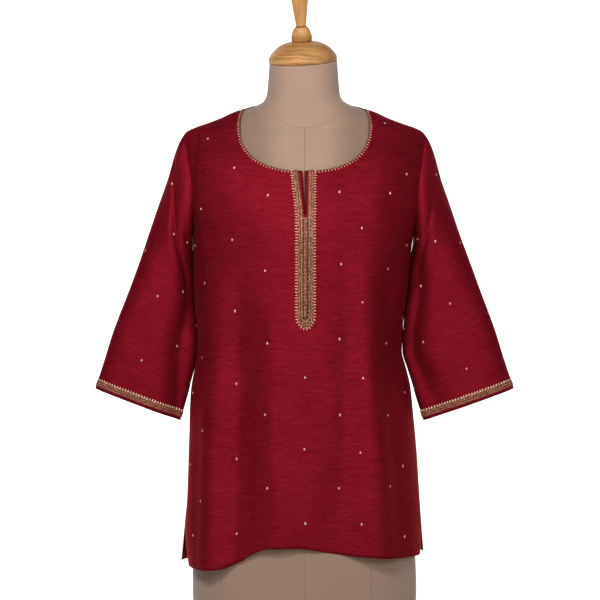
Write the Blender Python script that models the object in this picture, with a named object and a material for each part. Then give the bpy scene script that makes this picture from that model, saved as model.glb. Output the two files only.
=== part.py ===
"""A three-quarter-sleeve silk tunic with woven gold trims, worn by a limbless dress form.

The form's flat underside is centred on the origin, the front faces -Y and +Z is up. Sizes below are
in millimetres, and the meshes are made in metres. "left" is the side at -X.
"""

import math

import bmesh
import bpy
import numpy as np
from mathutils import Matrix, Vector

MM = 0.001
LEFT, RIGHT = -1, 1
FRONT, BACK = -1, 1

# Cloth and sewing
WALL = 1.5
SEAM = 0.3
LIFT = 0.4
TRIM_WALL = 0.9

# Heights of the tunic's landmarks
UNDERARM = 612.0
SHOULDER_END = 770.0
NECK_SIDE = 806.5
SLIT_TOP = 188.0
CORNER_DROP = 85.0
PLAIN_LEVEL = 400.0
HEM_LEVEL = 120.0

# Neckline, seen from the front
NECK_HALF_WIDTH = 98.5
NECK_SIDE_HALF_WIDTH = 92.0
NECK_WIDEST = 779.0
NECK_DROP = 74.0
NECK_ROUNDNESS = 2.4

# Armhole: an oval round the shoulder end, measured as a turn away from the side seam
ARMHOLE_TURN = math.radians(26.5)
ARMHOLE_ROUNDNESS = 0.9

# Centre slit
SLIT_HALF_WIDTH = 2.2
SLIT_TAPER = 0.8
SLIT_LEAN = -1.8
PLACKET_LEAN = 1.2
SLIT_ROWS = 6

# Side slits: how far each face turns back from the side at its bottom corners
SLIT_SPREAD = {FRONT: math.radians(12), BACK: math.radians(3)}
DEEPEST_OPENING = 1.2

# How near the points of two grids lie where they are one piece
HALVES_JOIN = 0.15
NECK_TRIM_JOIN = 0.6

# Woven strips
NECK_STRIP = 4.5
BAND = 9.3
PLACKET_GAP_TOP = 7.8
CENTRE_STRIP = 3.4
PLACKET_TURN = 486.0
PLACKET_POINT = 469.5
PLACKET_FILLET = 2.5
POINT_ROUNDNESS = 1.25
CUFF_BAND = 10.5
CUFF_HEM = 4.5

# Mesh divisions: quads across half a panel, round half an armhole, up the skirt and yoke, and sides
SKIRT_COLUMNS = 14
ARMHOLE_STEPS = 12
SKIRT_ROWS = 14
YOKE_ROWS = 8
SLEEVE_ROWS = 14
FORM_SIDES = 36
CAP_SIDES = 28
KNOB_SIDES = 18

# Dress form
SHOULDER_CLEAR = 0.85
CHEST_CLEAR = 8.0
BLADE_CLEAR = 11.0
NECK_PLANE = 881.2
NECK_SHEAR_FROM = 835.0
NECK_CENTRE = -2.5
CAP_TILT_FORWARD = math.radians(14)
CAP_TILT_LEFT = math.radians(3)
CAP_HEIGHT = 31.5

# Heights of the form's rings, as spans with a number of rings each
FORM_RINGS = (
    (0, 590, 13),
    (612, 730, 4),
    (748, 762, 2),
    (768, 776, 3),
    (781, 805, 6),
    (808, 820, 4),
    (830, NECK_PLANE, 4),
)


def table(names, *rows):
    """A table's columns by name, each an array."""
    return dict(zip(names.split(), np.array(rows, float).T))


# Inner face of the tunic at each height: half widths to the left and right of the centre, and depths
TUNIC = table(
    "height left right front back squareness",
    (95, 187, 182.5, 121, 128, 2.1),
    (164, 184, 179.5, 121, 128, 2.1),
    (203, 180, 177, 121, 127, 2.1),
    (281, 177, 172, 122, 124, 2.12),
    (330, 175.5, 167.5, 122.5, 120, 2.15),
    (378, 172.5, 162.5, 123, 116, 2.2),
    (406, 167.5, 156, 123.5, 114, 2.2),
    (432, 163.5, 149.5, 124, 112.5, 2.2),
    (470, 164, 151, 125, 111, 2.2),
    (511, 168.5, 156, 127, 110, 2.2),
    (560, 170.5, 161.5, 129, 108, 2.2),
    (600, 171, 165, 129, 107, 2.25),
    (612, 171, 167, 128.5, 107, 2.3),
    (650, 178, 177, 121, 109, 2.4),
    (690, 185, 185, 106, 108, 2.4),
    (730, 190, 190, 85.5, 99, 2.3),
    (750, 190.5, 190.5, 74.5, 91, 2.15),
    (762, 188, 188, 69, 84, 2.05),
    (770, 183, 183, 65.5, 79, 2),
    (776.5, 171, 171, 62.5, 77, 1.95),
    (783, 152.5, 152.5, 60.5, 74, 1.9),
    (791.5, 130, 130, 59, 71.5, 1.85),
    (802, 107, 107, 58, 69, 1.85),
    (806.5, 92, 92, 57.5, 68, 1.9),
    (812, 84, 84, 57, 66.5, 1.9),
    (820, 76, 76, 57, 65, 2),
)

# The dress form below its shoulders, and its neck
FORM_BODY = (
    (0, 168, 168, 103, 112, 2.2),
    (62, 173, 173, 105, 115, 2.2),
    (150, 173, 170, 106, 116, 2.2),
    (200, 170, 167, 105, 114, 2.2),
    (250, 165, 162, 104, 109, 2.2),
    (300, 157, 154, 101, 102, 2.2),
    (350, 147, 144, 98, 95, 2.2),
    (400, 137, 134, 96, 88, 2.2),
    (450, 131, 130, 95, 83, 2.2),
    (500, 133, 132, 100, 85, 2.2),
    (550, 141, 140, 113, 92, 2.2),
    (590, 149, 148, 124, 98, 2.25),
    (612, 152, 151, 124.5, 100, 2.3),
    (650, 157, 156, 117, 103, 2.4),
    (690, 163, 163, 102, 104, 2.4),
    (730, 170, 170, 82.5, 95, 2.3),
    (750, 175, 175, 72, 87, 2.15),
    (762, 177, 177, 66.5, 81, 2.05),
)
FORM_NECK = (
    (810, 80, 80, 54.5, 62.5, 1.9),
    (814, 71, 70, 54.5, 60.5, 1.95),
    (820, 62.5, 60, 54.5, 58, 2),
    (830, 58.5, 55, 54, 56, 2),
    (850, 56.5, 53, 54, 55, 2),
    (NECK_PLANE, 54.5, 50.5, 53, 54, 2),
)

# Back neckline: its height at each turn from the centre back to the side of the neck, in degrees
BACK_NECKLINE = table(
    "turn height",
    (0, 811),
    (25, 812.5),
    (50, 814.5),
    (68, 813.5),
    (80, 810.5),
    (90, NECK_SIDE),
)

# Bottom edges, from the left side to the right
HEM = {
    FRONT: table(
        "across height",
        (-180, 103),
        (-160, 103),
        (-141, 105.5),
        (-119, 114),
        (-104, 120),
        (-88, 129),
        (-58, 138.5),
        (-15, 139.5),
        (26, 134.5),
        (54, 130),
        (108, 124),
        (150, 120.5),
        (180, 119.5),
    ),
    BACK: table(
        "across height",
        (-190, 107.5),
        (-150, 106),
        (-100, 113),
        (-50, 120),
        (10, 117),
        (70, 123),
        (120, 118),
        (190, 123),
    ),
}

# How far each bottom corner stands out of the section, from this share of the half width outwards
CORNER_CURL = {(FRONT, LEFT): -8, (FRONT, RIGHT): -4, (BACK, LEFT): 4, (BACK, RIGHT): 3}
CORNER_START = 0.84

# Long soft folds: where each starts and ends across, its top, its depth (out is +) and its half width
FOLDS = table(
    "face top_across foot_across top depth width",
    (FRONT, -116, -117, 600, 7, 15),
    (FRONT, -82, -84, 560, -6, 17),
    (FRONT, -150, -152, 540, -4, 14),
    (FRONT, 86, 92, 590, 7, 22),
    (FRONT, 127, 131, 590, -8, 17),
    (FRONT, 52, 54, 360, -5, 13),
    (FRONT, 10, -12, 400, 3, 24),
    (BACK, -62, -72, 520, 7, 19),
    (BACK, -112, -118, 500, -6, 17),
    (BACK, 4, -2, 500, -6, 26),
    (BACK, 66, 80, 540, 8, 20),
    (BACK, 118, 124, 520, -6, 17),
)
FOLD_RISE = 170.0
SIDE_FADE = 0.3

# Outer and inner edges of the sleeve; "away" is how far the inner edge is from the body
SLEEVE = table(
    "along outer_across outer_height inner_height away depth squareness",
    (0.0, 184, 770, 608, 4.2, 56, 2.0),
    (0.2, 213, 690, 577, 5, 53, 2.0),
    (0.4, 243, 604, 527, 5, 48, 2.0),
    (0.575, 268, 531, 473, 5, 44, 2.0),
    (0.74, 293, 464.5, 428, 6, 39, 2.05),
    (0.87, 309, 414.5, 376, 8, 34, 2.1),
    (1.0, 322.5, 375, 325.5, 17.5, 27, 2.15),
)
CAP_END = 0.2

# Where the sleeve leaves the armhole: how far it starts above the cloth and outside its edge
ARMHOLE_LAP = table(
    "angle above outside",
    (0, 0, 0.5),
    (20, 0.2, 1.2),
    (45, 1.9, 0.9),
    (100, 2.2, 0.3),
    (150, 3.5, 0.2),
    (180, 3.9, 0.0),
)

# A crease down each face of the sleeve: where it lies round the sleeve, in degrees, and its depth
CREASES = {
    FRONT: table(
        "along angle depth",
        (0.03, 42, 0),
        (0.1, 62, 4),
        (0.2, 86, 8),
        (0.3, 118, 8),
        (0.4, 146, 4),
        (0.48, 165, 0),
    ),
    BACK: table(
        "along angle depth",
        (0.04, -45, 0),
        (0.12, -66, 4),
        (0.23, -92, 7),
        (0.34, -122, 6),
        (0.46, -158, 0),
    ),
}
CREASE_WIDTH = 17.0

# Turned wooden cap and knob: radius and height up their own axis
CAP_PROFILE = ((51, 0), (53, 2), (53.3, 5), (51, 10), (42, 20), (33, 26), (22, 29.8), (10, CAP_HEIGHT))
KNOB_PROFILE = (
    (15.2, 0),
    (16.2, 3.5),
    (15.3, 10),
    (13, 17),
    (9.8, 21.5),
    (8, 22.5),
    (8.6, 29),
    (10.6, 44),
    (12.4, 58),
    (14, 71),
    (15.8, 85),
    (16, 96),
    (13.6, 107),
    (8.4, 114),
    (3, 116.5),
)

COLOURS = {
    "silk": (0.223, 0.0075, 0.0145, 0.62, 0.0),
    "gold": (0.27, 0.125, 0.07, 0.5, 0.35),
    "form": (0.4, 0.262, 0.185, 0.85, 0.0),
    "wood": (0.48, 0.235, 0.08, 0.45, 0.0),
}


def monotone(xs, ys, at):
    """Smooth interpolation that never overshoots the table's highs and lows."""
    at = np.clip(at, xs[0], xs[-1])
    step = np.diff(xs)
    slope = np.diff(ys) / step
    same = slope[:-1] * slope[1:] > 0
    inner = np.where(same, 2 * slope[:-1] * slope[1:] / np.where(same, slope[:-1] + slope[1:], 1), 0)
    tangent = np.concatenate([slope[:1], inner, slope[-1:]])
    cell = np.clip(np.searchsorted(xs, at, side="right") - 1, 0, len(step) - 1)
    width = step[cell]
    t = (at - xs[cell]) / width
    value = (1 + 2 * t) * (1 - t) ** 2 * ys[cell] + t * (1 - t) ** 2 * width * tangent[cell]
    return value + t * t * (3 - 2 * t) * ys[cell + 1] + t * t * (t - 1) * width * tangent[cell + 1]


def column(rows, name, at):
    first = next(iter(rows))
    return monotone(rows[first], rows[name], at)


def smoothstep(value):
    value = np.clip(value, 0, 1)
    return value * value * (3 - 2 * value)


def unit(vectors):
    return vectors / np.linalg.norm(vectors, axis=-1, keepdims=True)


def half_width(rows, side, height):
    return column(rows, "left" if side == LEFT else "right", height)


def torso(rows, turn, height):
    """Points on a body of rounded sections; turn runs from the centre front towards +X."""
    turn, height = np.broadcast_arrays(turn, height)
    sine, cosine = np.sin(turn), np.cos(turn)
    across = np.where(sine < 0, half_width(rows, LEFT, height), half_width(rows, RIGHT, height))
    depth = np.where(cosine > 0, column(rows, "front", height), column(rows, "back", height))
    square = column(rows, "squareness", height)
    reach = (abs(sine) ** square + abs(cosine) ** square) ** (-1 / square)
    point = np.stack([across * reach * sine, -depth * reach * cosine, height], axis=-1)
    power = square - 1
    normal = np.stack(
        [
            np.sign(sine) * abs(reach * sine) ** power / across,
            -np.sign(cosine) * abs(reach * cosine) ** power / depth,
            np.zeros_like(across),
        ],
        axis=-1,
    )
    return point, unit(normal)


def slit_opening(height):
    """Nothing at the top of the side slits, and 1 at the bottom corners."""
    return np.clip((SLIT_TOP - height) / CORNER_DROP, 0, DEEPEST_OPENING) ** 2


def fold_height(point, turn):
    """How far the folds and the bottom corners stand out of the plain section."""
    across, height = point[..., 0], point[..., 2]
    face = np.where(np.cos(turn) > 0, FRONT, BACK)
    total = np.zeros_like(across)
    for i in range(len(FOLDS["face"])):
        fold = {name: values[i] for name, values in FOLDS.items()}
        down = (fold["top"] - height) / fold["top"]
        middle = fold["top_across"] + (fold["foot_across"] - fold["top_across"]) * down
        shape = np.exp(-(((across - middle) / fold["width"]) ** 2))
        fade = smoothstep((fold["top"] - height) / FOLD_RISE)
        total += np.where(face == fold["face"], fold["depth"] * shape * fade, 0)
    total *= smoothstep(abs(np.cos(turn)) / SIDE_FADE)
    drop = slit_opening(height)
    for (corner_face, side), curl in CORNER_CURL.items():
        share = side * across / half_width(TUNIC, side, height)
        near = smoothstep((share - CORNER_START) / (1 - CORNER_START))
        total += np.where(face == corner_face, curl * drop * near, 0)
    return total


def cloth(turn, height):
    """The tunic body's inner face."""
    point, normal = torso(TUNIC, turn, height)
    return point + fold_height(point, np.broadcast_to(turn, point.shape[:-1]))[..., None] * normal


def lifted(surface, u, v, lift, sign):
    """Points of a surface moved out by lift, along its own normal."""
    step_u, step_v = 1e-3, 0.5 if np.max(v) > 2 else 1e-3
    along_u = surface(u + step_u, v) - surface(u - step_u, v)
    along_v = surface(u, v + step_v) - surface(u, v - step_v)
    return surface(u, v) + sign * lift * unit(np.cross(along_u, along_v))


def panel_turn(face, side, quarter):
    """The turn of a point that lies quarter round from the centre front or centre back."""
    return side * quarter if face == FRONT else math.pi - side * quarter


def quarter_of(side, across, height):
    """How far round from the centre a point lies, from how far across it is."""
    square = column(TUNIC, "squareness", height)
    share = np.clip(side * across / half_width(TUNIC, side, height), -1, 1)
    return np.arctan2(share, np.sign(1 - share) * (1 - abs(share) ** square) ** (1 / square))


def resampled(points, *values, count):
    """The values at count + 1 places, evenly spaced along the points."""
    length = np.concatenate([[0], np.cumsum(np.linalg.norm(np.diff(points, axis=0), axis=1))])
    places = np.linspace(0, length[-1], count + 1)
    return [np.interp(places, length, value) for value in values]


def neckline_front(side, first_across, count):
    """(quarter, height) along the front neckline, from the slit to the side of the neck."""
    t = np.linspace(0, 1, 200)
    across = NECK_HALF_WIDTH * np.sin(t * math.pi / 2) ** (2 / NECK_ROUNDNESS)
    height = NECK_WIDEST - NECK_DROP * np.cos(t * math.pi / 2) ** (2 / NECK_ROUNDNESS)
    rise = np.linspace(0, 1, 60)[1:]
    across = np.append(across, NECK_HALF_WIDTH - (NECK_HALF_WIDTH - NECK_SIDE_HALF_WIDTH) * rise**2)
    height = np.append(height, NECK_WIDEST + (NECK_SIDE - NECK_WIDEST) * rise)
    kept = across > side * first_across
    across = np.append(side * first_across, across[kept])
    height = np.append(height[~kept][-1] if (~kept).any() else height[0], height[kept])
    quarter = quarter_of(side, side * across, height)
    return resampled(cloth(side * quarter, height), quarter, height, count=count)


def neckline_back(side, count):
    quarter = np.linspace(0, math.pi / 2, 200)
    height = column(BACK_NECKLINE, "height", np.degrees(quarter))
    return resampled(cloth(math.pi - side * quarter, height), quarter, height, count=count)


def seam_quarter(face, height):
    """The quarter of a panel's side edge: just short of the seam, and further below the slit's top."""
    depth = column(TUNIC, "front" if face == FRONT else "back", height)
    return math.pi / 2 - SEAM / 2 / depth - SLIT_SPREAD[face] * slit_opening(height)


def armhole(angle):
    """(quarter, height) of the armhole; angle runs from the shoulder end to the underarm."""
    middle, half = (SHOULDER_END + UNDERARM) / 2, (SHOULDER_END - UNDERARM) / 2
    bend = abs(np.sin(angle)) ** ARMHOLE_ROUNDNESS
    return math.pi / 2 - ARMHOLE_TURN * bend, middle + half * np.cos(angle)


def neck_front_height():
    return NECK_WIDEST - NECK_DROP


def slit_foot():
    return neck_front_height() - (neck_front_height() - UNDERARM) * SLIT_ROWS / YOKE_ROWS


def centre_across(height):
    """How far across the centre line of the slit and placket is."""
    share = smoothstep((height - slit_foot()) / (neck_front_height() - slit_foot()))
    return PLACKET_LEAN + (SLIT_LEAN - PLACKET_LEAN) * share


def slit_edge(side, height):
    share = np.clip((height - slit_foot()) / (neck_front_height() - slit_foot()), 0, 1)
    return centre_across(height) + side * SLIT_HALF_WIDTH * share**SLIT_TAPER


def column_shares(side):
    """Shares of a half panel's width that space its columns evenly along the cloth."""
    quarter = np.linspace(0, math.pi / 2, 300)
    points, _ = torso(TUNIC, side * quarter, PLAIN_LEVEL)
    (even,) = resampled(points, quarter, count=SKIRT_COLUMNS)
    return even / even[-1]


def between(inner, outer, first, last, down):
    """A patch between an inner and an outer edge and the first and last of the rays that join them."""
    s = np.linspace(0, 1, len(inner))[None, :, None]
    r = down[..., None]
    patch = (1 - r) * inner + r * outer + (1 - s) * first(down) + s * last(down)
    corners = (1 - r) * ((1 - s) * inner[0] + s * inner[-1]) + r * ((1 - s) * outer[0] + s * outer[-1])
    return patch - corners


def half_panel(face, side):
    """Rows of (quarter, height) for one half of the front or back: the skirt's, then the yoke's."""
    share = column_shares(side)[None, :]
    rise = np.linspace(0, 1, SKIRT_ROWS + 1)[:, None]
    foot, _ = torso(TUNIC, panel_turn(face, side, share * math.pi / 2), HEM_LEVEL)
    hem = column(HEM[face], "height", foot[..., 0])
    height = hem + (UNDERARM - hem) * rise

    def centre(level):
        return quarter_of(side, centre_across(level), level) if face == FRONT else 0 * level

    start = centre(height)
    skirt = np.stack([start + share * (seam_quarter(face, height) - start), height], axis=-1)

    steps = SKIRT_COLUMNS + ARMHOLE_STEPS
    if face == FRONT:
        neckline = neckline_front(side, slit_edge(side, neck_front_height()), steps)
    else:
        neckline = neckline_back(side, steps)
    inner = np.stack(neckline, axis=-1)

    def centre_line(down):
        level = inner[0, 1] + (UNDERARM - inner[0, 1]) * down
        if face == BACK:
            return np.stack([0 * level, level], axis=-1)
        return np.stack([quarter_of(side, slit_edge(side, level), level), level], axis=-1)

    def shoulder_line(down):
        level = NECK_SIDE + (SHOULDER_END - NECK_SIDE) * down
        return np.stack([seam_quarter(face, level), level], axis=-1)

    angle = np.linspace(math.pi, 0, ARMHOLE_STEPS + 1)[1:]
    quarter, level = armhole(angle)
    quarter = np.minimum(quarter, seam_quarter(face, level))
    outer = np.concatenate([skirt[-1], np.stack([quarter, level], axis=-1)])
    inner[-1], outer[-1] = shoulder_line(np.array([0.0, 1.0]))
    down = np.repeat(np.linspace(0, 1, YOKE_ROWS + 1)[:, None], steps + 1, axis=1)
    rays = between(inner, outer, centre_line, shoulder_line, down)
    edge, inside = cloth_rows(face, side, rays[:2])
    strip_row = NECK_STRIP / YOKE_ROWS / np.linalg.norm(inside - edge, axis=-1)
    down = np.insert(down, 1, strip_row, axis=0)
    return skirt, between(inner, outer, centre_line, shoulder_line, down)[::-1]


def cloth_rows(face, side, rows, lift=0.0):
    turn = panel_turn(face, side, rows[..., 0])
    return lifted(cloth, turn, rows[..., 1], lift, 1)


def sleeve_loft(side, angle, along):
    """The sleeve's sections with no cap: points and in-section normals."""
    outer = [column(SLEEVE, name, along) for name in ("outer_across", "outer_height")]
    inner_height = column(SLEEVE, "inner_height", along)
    inner_across = half_width(TUNIC, side, inner_height) + column(SLEEVE, "away", along)
    depth = column(SLEEVE, "depth", along)
    square = column(SLEEVE, "squareness", along)
    cosine, sine = np.cos(angle), np.sin(angle)
    reach = (abs(cosine) ** square + abs(sine) ** square) ** (-1 / square)
    middle = ((outer[0] + inner_across) / 2, (outer[1] + inner_height) / 2)
    arm = ((outer[0] - inner_across) / 2, (outer[1] - inner_height) / 2)
    half = np.hypot(*arm)
    across = middle[0] + arm[0] * reach * cosine
    height = middle[1] + arm[1] * reach * cosine
    point = np.stack([side * across, -depth * reach * sine, height], axis=-1)
    out = [side * arm[0] * cosine / half**2, -sine / depth, arm[1] * cosine / half**2]
    return point, unit(np.stack(out, axis=-1))


def crease_depth(angle, along):
    """How far the sleeve's creases sink in."""
    degrees = np.degrees(angle)
    total = np.zeros_like(along)
    for rows in CREASES.values():
        away = (degrees - column(rows, "angle", along) + 180) % 360 - 180
        total += column(rows, "depth", along) * np.exp(-((away / CREASE_WIDTH) ** 2))
    return total


def armhole_start(side, angle):
    """Where the sleeve starts, and the direction in which it leaves."""
    bend, height = armhole(angle)
    turn = side * (math.pi / 2 - np.sign(np.sin(angle)) * (math.pi / 2 - bend))
    base = cloth(turn, height)
    normal = lifted(cloth, turn, height, 1.0, 1) - base
    fold = np.degrees(abs((angle + math.pi) % (2 * math.pi) - math.pi))
    lean = 1 - np.cos(angle)
    leave = unit(
        np.stack([side * (0.85 - 0.35 * lean), -0.3 * np.sin(angle), -0.55 - 0.2 * lean], axis=-1)
    )
    above = column(ARMHOLE_LAP, "above", fold)[..., None]
    outside = column(ARMHOLE_LAP, "outside", fold)[..., None]
    return base + above * normal + outside * leave, leave


def sleeve(side, angle, along):
    """The sleeve's inner face: angle 0 is its outer edge, a quarter its front; along ends at the cuff."""
    angle, along = np.broadcast_arrays(np.asarray(angle, float), np.asarray(along, float))
    point, normal = sleeve_loft(side, angle, along)
    start, leave = armhole_start(side, angle)
    joint = np.full_like(along, CAP_END)
    end, _ = sleeve_loft(side, angle, joint)
    ahead, _ = sleeve_loft(side, angle, joint + 0.01)
    reach = np.linalg.norm(end - start, axis=-1, keepdims=True)
    speed = (ahead - end) / 0.01 * CAP_END
    t = np.clip(along / CAP_END, 0, 1)[..., None]
    cap = (1 + 2 * t) * (1 - t) ** 2 * start + t * (1 - t) ** 2 * reach * leave
    cap += t * t * (3 - 2 * t) * end + t * t * (t - 1) * speed
    whole = np.where(along[..., None] < CAP_END, cap, point)
    return whole - crease_depth(angle, along)[..., None] * normal


def material(name):
    red, green, blue, roughness, metallic = COLOURS[name]
    made = bpy.data.materials.get(name) or bpy.data.materials.new(name)
    made.use_nodes = True
    shader = made.node_tree.nodes["Principled BSDF"]
    shader.inputs["Base Color"].default_value = (red, green, blue, 1)
    shader.inputs["Roughness"].default_value = roughness
    shader.inputs["Metallic"].default_value = metallic
    return made


def finished(name, bm, colour):
    """A smooth-shaded object of its own, from a bmesh in millimetres."""
    bmesh.ops.scale(bm, vec=Vector((MM, MM, MM)), verts=bm.verts)
    mesh = bpy.data.meshes.new(name)
    bm.to_mesh(mesh)
    bm.free()
    mesh.shade_smooth()
    mesh.set_sharp_from_angle(angle=math.radians(40))
    mesh.materials.append(material(colour))
    made = bpy.data.objects.new(name, mesh)
    bpy.context.scene.collection.objects.link(made)
    return made


def add_grid(bm, rows, flip=False, wrap=False):
    """Quads between rows of points; they face along (next point) x (next row), or back if flipped."""
    verts = [[bm.verts.new(point) for point in row] for row in rows]
    for lower, upper in zip(verts, verts[1:]):
        last = len(lower) if wrap else len(lower) - 1
        for i in range(last):
            j = (i + 1) % len(lower)
            corners = [lower[i], lower[j], upper[j], upper[i]]
            bm.faces.new(corners[::-1] if flip else corners)
    return verts


def walled(name, bm, colour, thickness, join=0.01):
    """The sheet in bm, its grids joined where they meet within join, thickened outwards."""
    bmesh.ops.remove_doubles(bm, verts=bm.verts, dist=join)
    made = finished(name, bm, colour)
    wall = made.modifiers.new("Wall", "SOLIDIFY")
    wall.thickness = thickness * MM
    wall.offset = 1
    return made


def make_panel(name, face):
    bm = bmesh.new()
    for side in (LEFT, RIGHT):
        for rows in half_panel(face, side):
            add_grid(bm, cloth_rows(face, side, rows), flip=side == face)
    return walled(name, bm, "silk", WALL, join=HALVES_JOIN)


def ring_angles():
    return np.linspace(0, 2 * math.pi, 2 * ARMHOLE_STEPS, endpoint=False)


def sleeve_rows(side, along, lift=0.0):
    """Rings of points; along has one value a ring, or one for each of its points."""
    angle = np.broadcast_to(ring_angles(), along.shape)
    return lifted(lambda a, b: sleeve(side, a, b), angle, along, lift, side)


def make_sleeve(name, side):
    bm = bmesh.new()
    along = np.linspace(0, 1, SLEEVE_ROWS + 1) ** 1.1
    rows = sleeve_rows(side, np.repeat(along[:, None], 2 * ARMHOLE_STEPS, axis=1))
    add_grid(bm, rows, flip=side == LEFT, wrap=True)
    return walled(name, bm, "silk", WALL)


def make_cuff_trim(name, side):
    near, end = sleeve_rows(side, np.array([[0.9] * 2 * ARMHOLE_STEPS, [1.0] * 2 * ARMHOLE_STEPS]))
    per_mm = 0.1 / np.linalg.norm(end - near, axis=-1)
    along = np.array([1 - (CUFF_HEM + CUFF_BAND) * per_mm, 1 - CUFF_HEM * per_mm])
    bm = bmesh.new()
    add_grid(bm, sleeve_rows(side, along, WALL + LIFT), flip=side == LEFT, wrap=True)
    return walled(name, bm, "gold", TRIM_WALL)


def neck_strip_rows(face, side):
    """The panel's last two rows of points, moved out; the front's stop at the placket."""
    rows = half_panel(face, side)[1][-2:]
    if face == FRONT:
        across = abs(cloth_rows(face, side, rows[1])[:, 0] - centre_across(rows[1, :, 1]))
        first = np.searchsorted(across, PLACKET_GAP_TOP + BAND + SEAM)
        rows = rows[:, first:]
    return cloth_rows(face, side, rows, WALL + LIFT)


def make_neck_trim():
    bm = bmesh.new()
    for face in (FRONT, BACK):
        for side in (LEFT, RIGHT):
            add_grid(bm, neck_strip_rows(face, side), flip=side == face)
    return walled("neck_trim", bm, "gold", TRIM_WALL, join=NECK_TRIM_JOIN)


def on_front(across, height):
    """Points just above the front's outer face."""
    side = np.where(across < 0, LEFT, RIGHT)
    left = LEFT * quarter_of(LEFT, across, height)
    right = quarter_of(RIGHT, across, height)
    return lifted(cloth, np.where(side == LEFT, left, right), height, WALL + LIFT, 1)


def placket_half_gap(height):
    """Half the width between the placket's two bands."""
    share = np.clip((height - slit_foot()) / (neck_front_height() - slit_foot()), 0, 1)
    return CENTRE_STRIP + (PLACKET_GAP_TOP - CENTRE_STRIP) * share


def make_placket_border():
    """One band down the left of the slit, round a rounded point and up the right."""
    drop = np.linspace(neck_front_height() + 0.5, PLACKET_TURN, 15)
    gap = placket_half_gap(drop)
    turn = np.linspace(0, math.pi, 9)[1:-1]
    point = np.sin(turn) ** POINT_ROUNDNESS
    edges = []
    for out, fall in ((0, PLACKET_FILLET), (BAND, PLACKET_TURN - PLACKET_POINT)):
        across = np.concatenate([-gap - out, -(CENTRE_STRIP + out) * np.cos(turn), (gap + out)[::-1]])
        edges.append((across, np.concatenate([drop, PLACKET_TURN - fall * point, drop[::-1]])))
    share = np.linspace(0, 1, 3)[:, None]
    across, height = (inner + (outer - inner) * share for inner, outer in zip(*edges))
    bm = bmesh.new()
    add_grid(bm, on_front(across + centre_across(height), height), flip=True)
    return walled("placket_border", bm, "gold", TRIM_WALL)


def make_placket_centre():
    """The strip that fills the border below the slit."""
    height = np.linspace(slit_foot() - 2, PLACKET_TURN + 1, 9)
    half = CENTRE_STRIP - SEAM
    across = np.array([[-half], [0.0], [half]]) + centre_across(height)
    bm = bmesh.new()
    add_grid(bm, on_front(across, np.broadcast_to(height, across.shape)))
    return walled("placket_centre", bm, "gold", TRIM_WALL)


def cap_axis():
    """The direction of the cap's and knob's axis, and the turn that brings +Z there."""
    turn = Matrix.Rotation(CAP_TILT_FORWARD, 4, "X") @ Matrix.Rotation(-CAP_TILT_LEFT, 4, "Y")
    return turn @ Vector((0, 0, 1)), turn


def form_sections():
    """The dress form's table: its body, the tunic's own shoulders a little smaller, and the neck."""
    shoulders = [
        (
            TUNIC["height"][i] - SHOULDER_CLEAR,
            TUNIC["left"][i],
            TUNIC["right"][i],
            TUNIC["front"][i] - CHEST_CLEAR,
            TUNIC["back"][i] - BLADE_CLEAR,
            TUNIC["squareness"][i],
        )
        for i in range(len(TUNIC["height"]))
        if SHOULDER_END < TUNIC["height"][i] <= NECK_SIDE
    ]
    return table("height left right front back squareness", *FORM_BODY, *shoulders, *FORM_NECK)


def make_form():
    rows = form_sections()
    heights = np.concatenate([np.linspace(*span) for span in FORM_RINGS])
    turn = np.linspace(0, 2 * math.pi, FORM_SIDES, endpoint=False)
    axis, _ = cap_axis()
    bm = bmesh.new()
    rings = []
    for height in heights:
        points, _ = torso(rows, turn, np.full_like(turn, height))
        lean = -(axis.x * (points[:, 0] - NECK_CENTRE) + axis.y * points[:, 1]) / axis.z
        points[:, 2] += lean * smoothstep((height - NECK_SHEAR_FROM) / (NECK_PLANE - NECK_SHEAR_FROM))
        rings.append(points)
    verts = add_grid(bm, rings, wrap=True)
    bm.faces.new(verts[0][::-1])
    bm.faces.new(verts[-1])
    return finished("dress_form", bm, "form")


def make_turned(name, profile, sides, base):
    """A wooden piece turned about the cap's axis, standing base above the neck's top."""
    bm = bmesh.new()
    turn = np.linspace(0, 2 * math.pi, sides, endpoint=False)
    rings = [
        np.stack([radius * np.cos(turn), radius * np.sin(turn), np.full(sides, height)], axis=-1)
        for radius, height in profile
    ]
    verts = add_grid(bm, rings, wrap=True)
    bm.faces.new(verts[0][::-1])
    bm.faces.new(verts[-1])
    made = finished(name, bm, "wood")
    axis, tilt = cap_axis()
    foot = Vector((NECK_CENTRE, 0, NECK_PLANE)) + axis * base
    made.matrix_world = Matrix.Translation(foot * MM) @ tilt
    return made


def main():
    for old in list(bpy.data.objects):
        bpy.data.objects.remove(old, do_unlink=True)
    make_panel("front", FRONT)
    make_panel("back", BACK)
    make_sleeve("sleeve_left", LEFT)
    make_sleeve("sleeve_right", RIGHT)
    make_neck_trim()
    make_placket_border()
    make_placket_centre()
    make_cuff_trim("cuff_trim_left", LEFT)
    make_cuff_trim("cuff_trim_right", RIGHT)
    make_form()
    make_turned("neck_cap", CAP_PROFILE, CAP_SIDES, SEAM)
    make_turned("neck_knob", KNOB_PROFILE, KNOB_SIDES, CAP_HEIGHT + 2 * SEAM)


main()
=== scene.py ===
"""Looks of a three-quarter-sleeve silk tunic with woven gold trims, worn by a limbless dress form.

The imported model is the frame: its flat underside is centred on the origin, the front faces -Y and
+Z is up. Tables are in millimetres, meshes and settings in metres. "left" is the side at -X.
"""

import math

import bmesh
import bpy
import numpy as np
from bpy.props import FloatProperty, FloatVectorProperty, PointerProperty
from mathutils import Matrix, Vector


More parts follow.
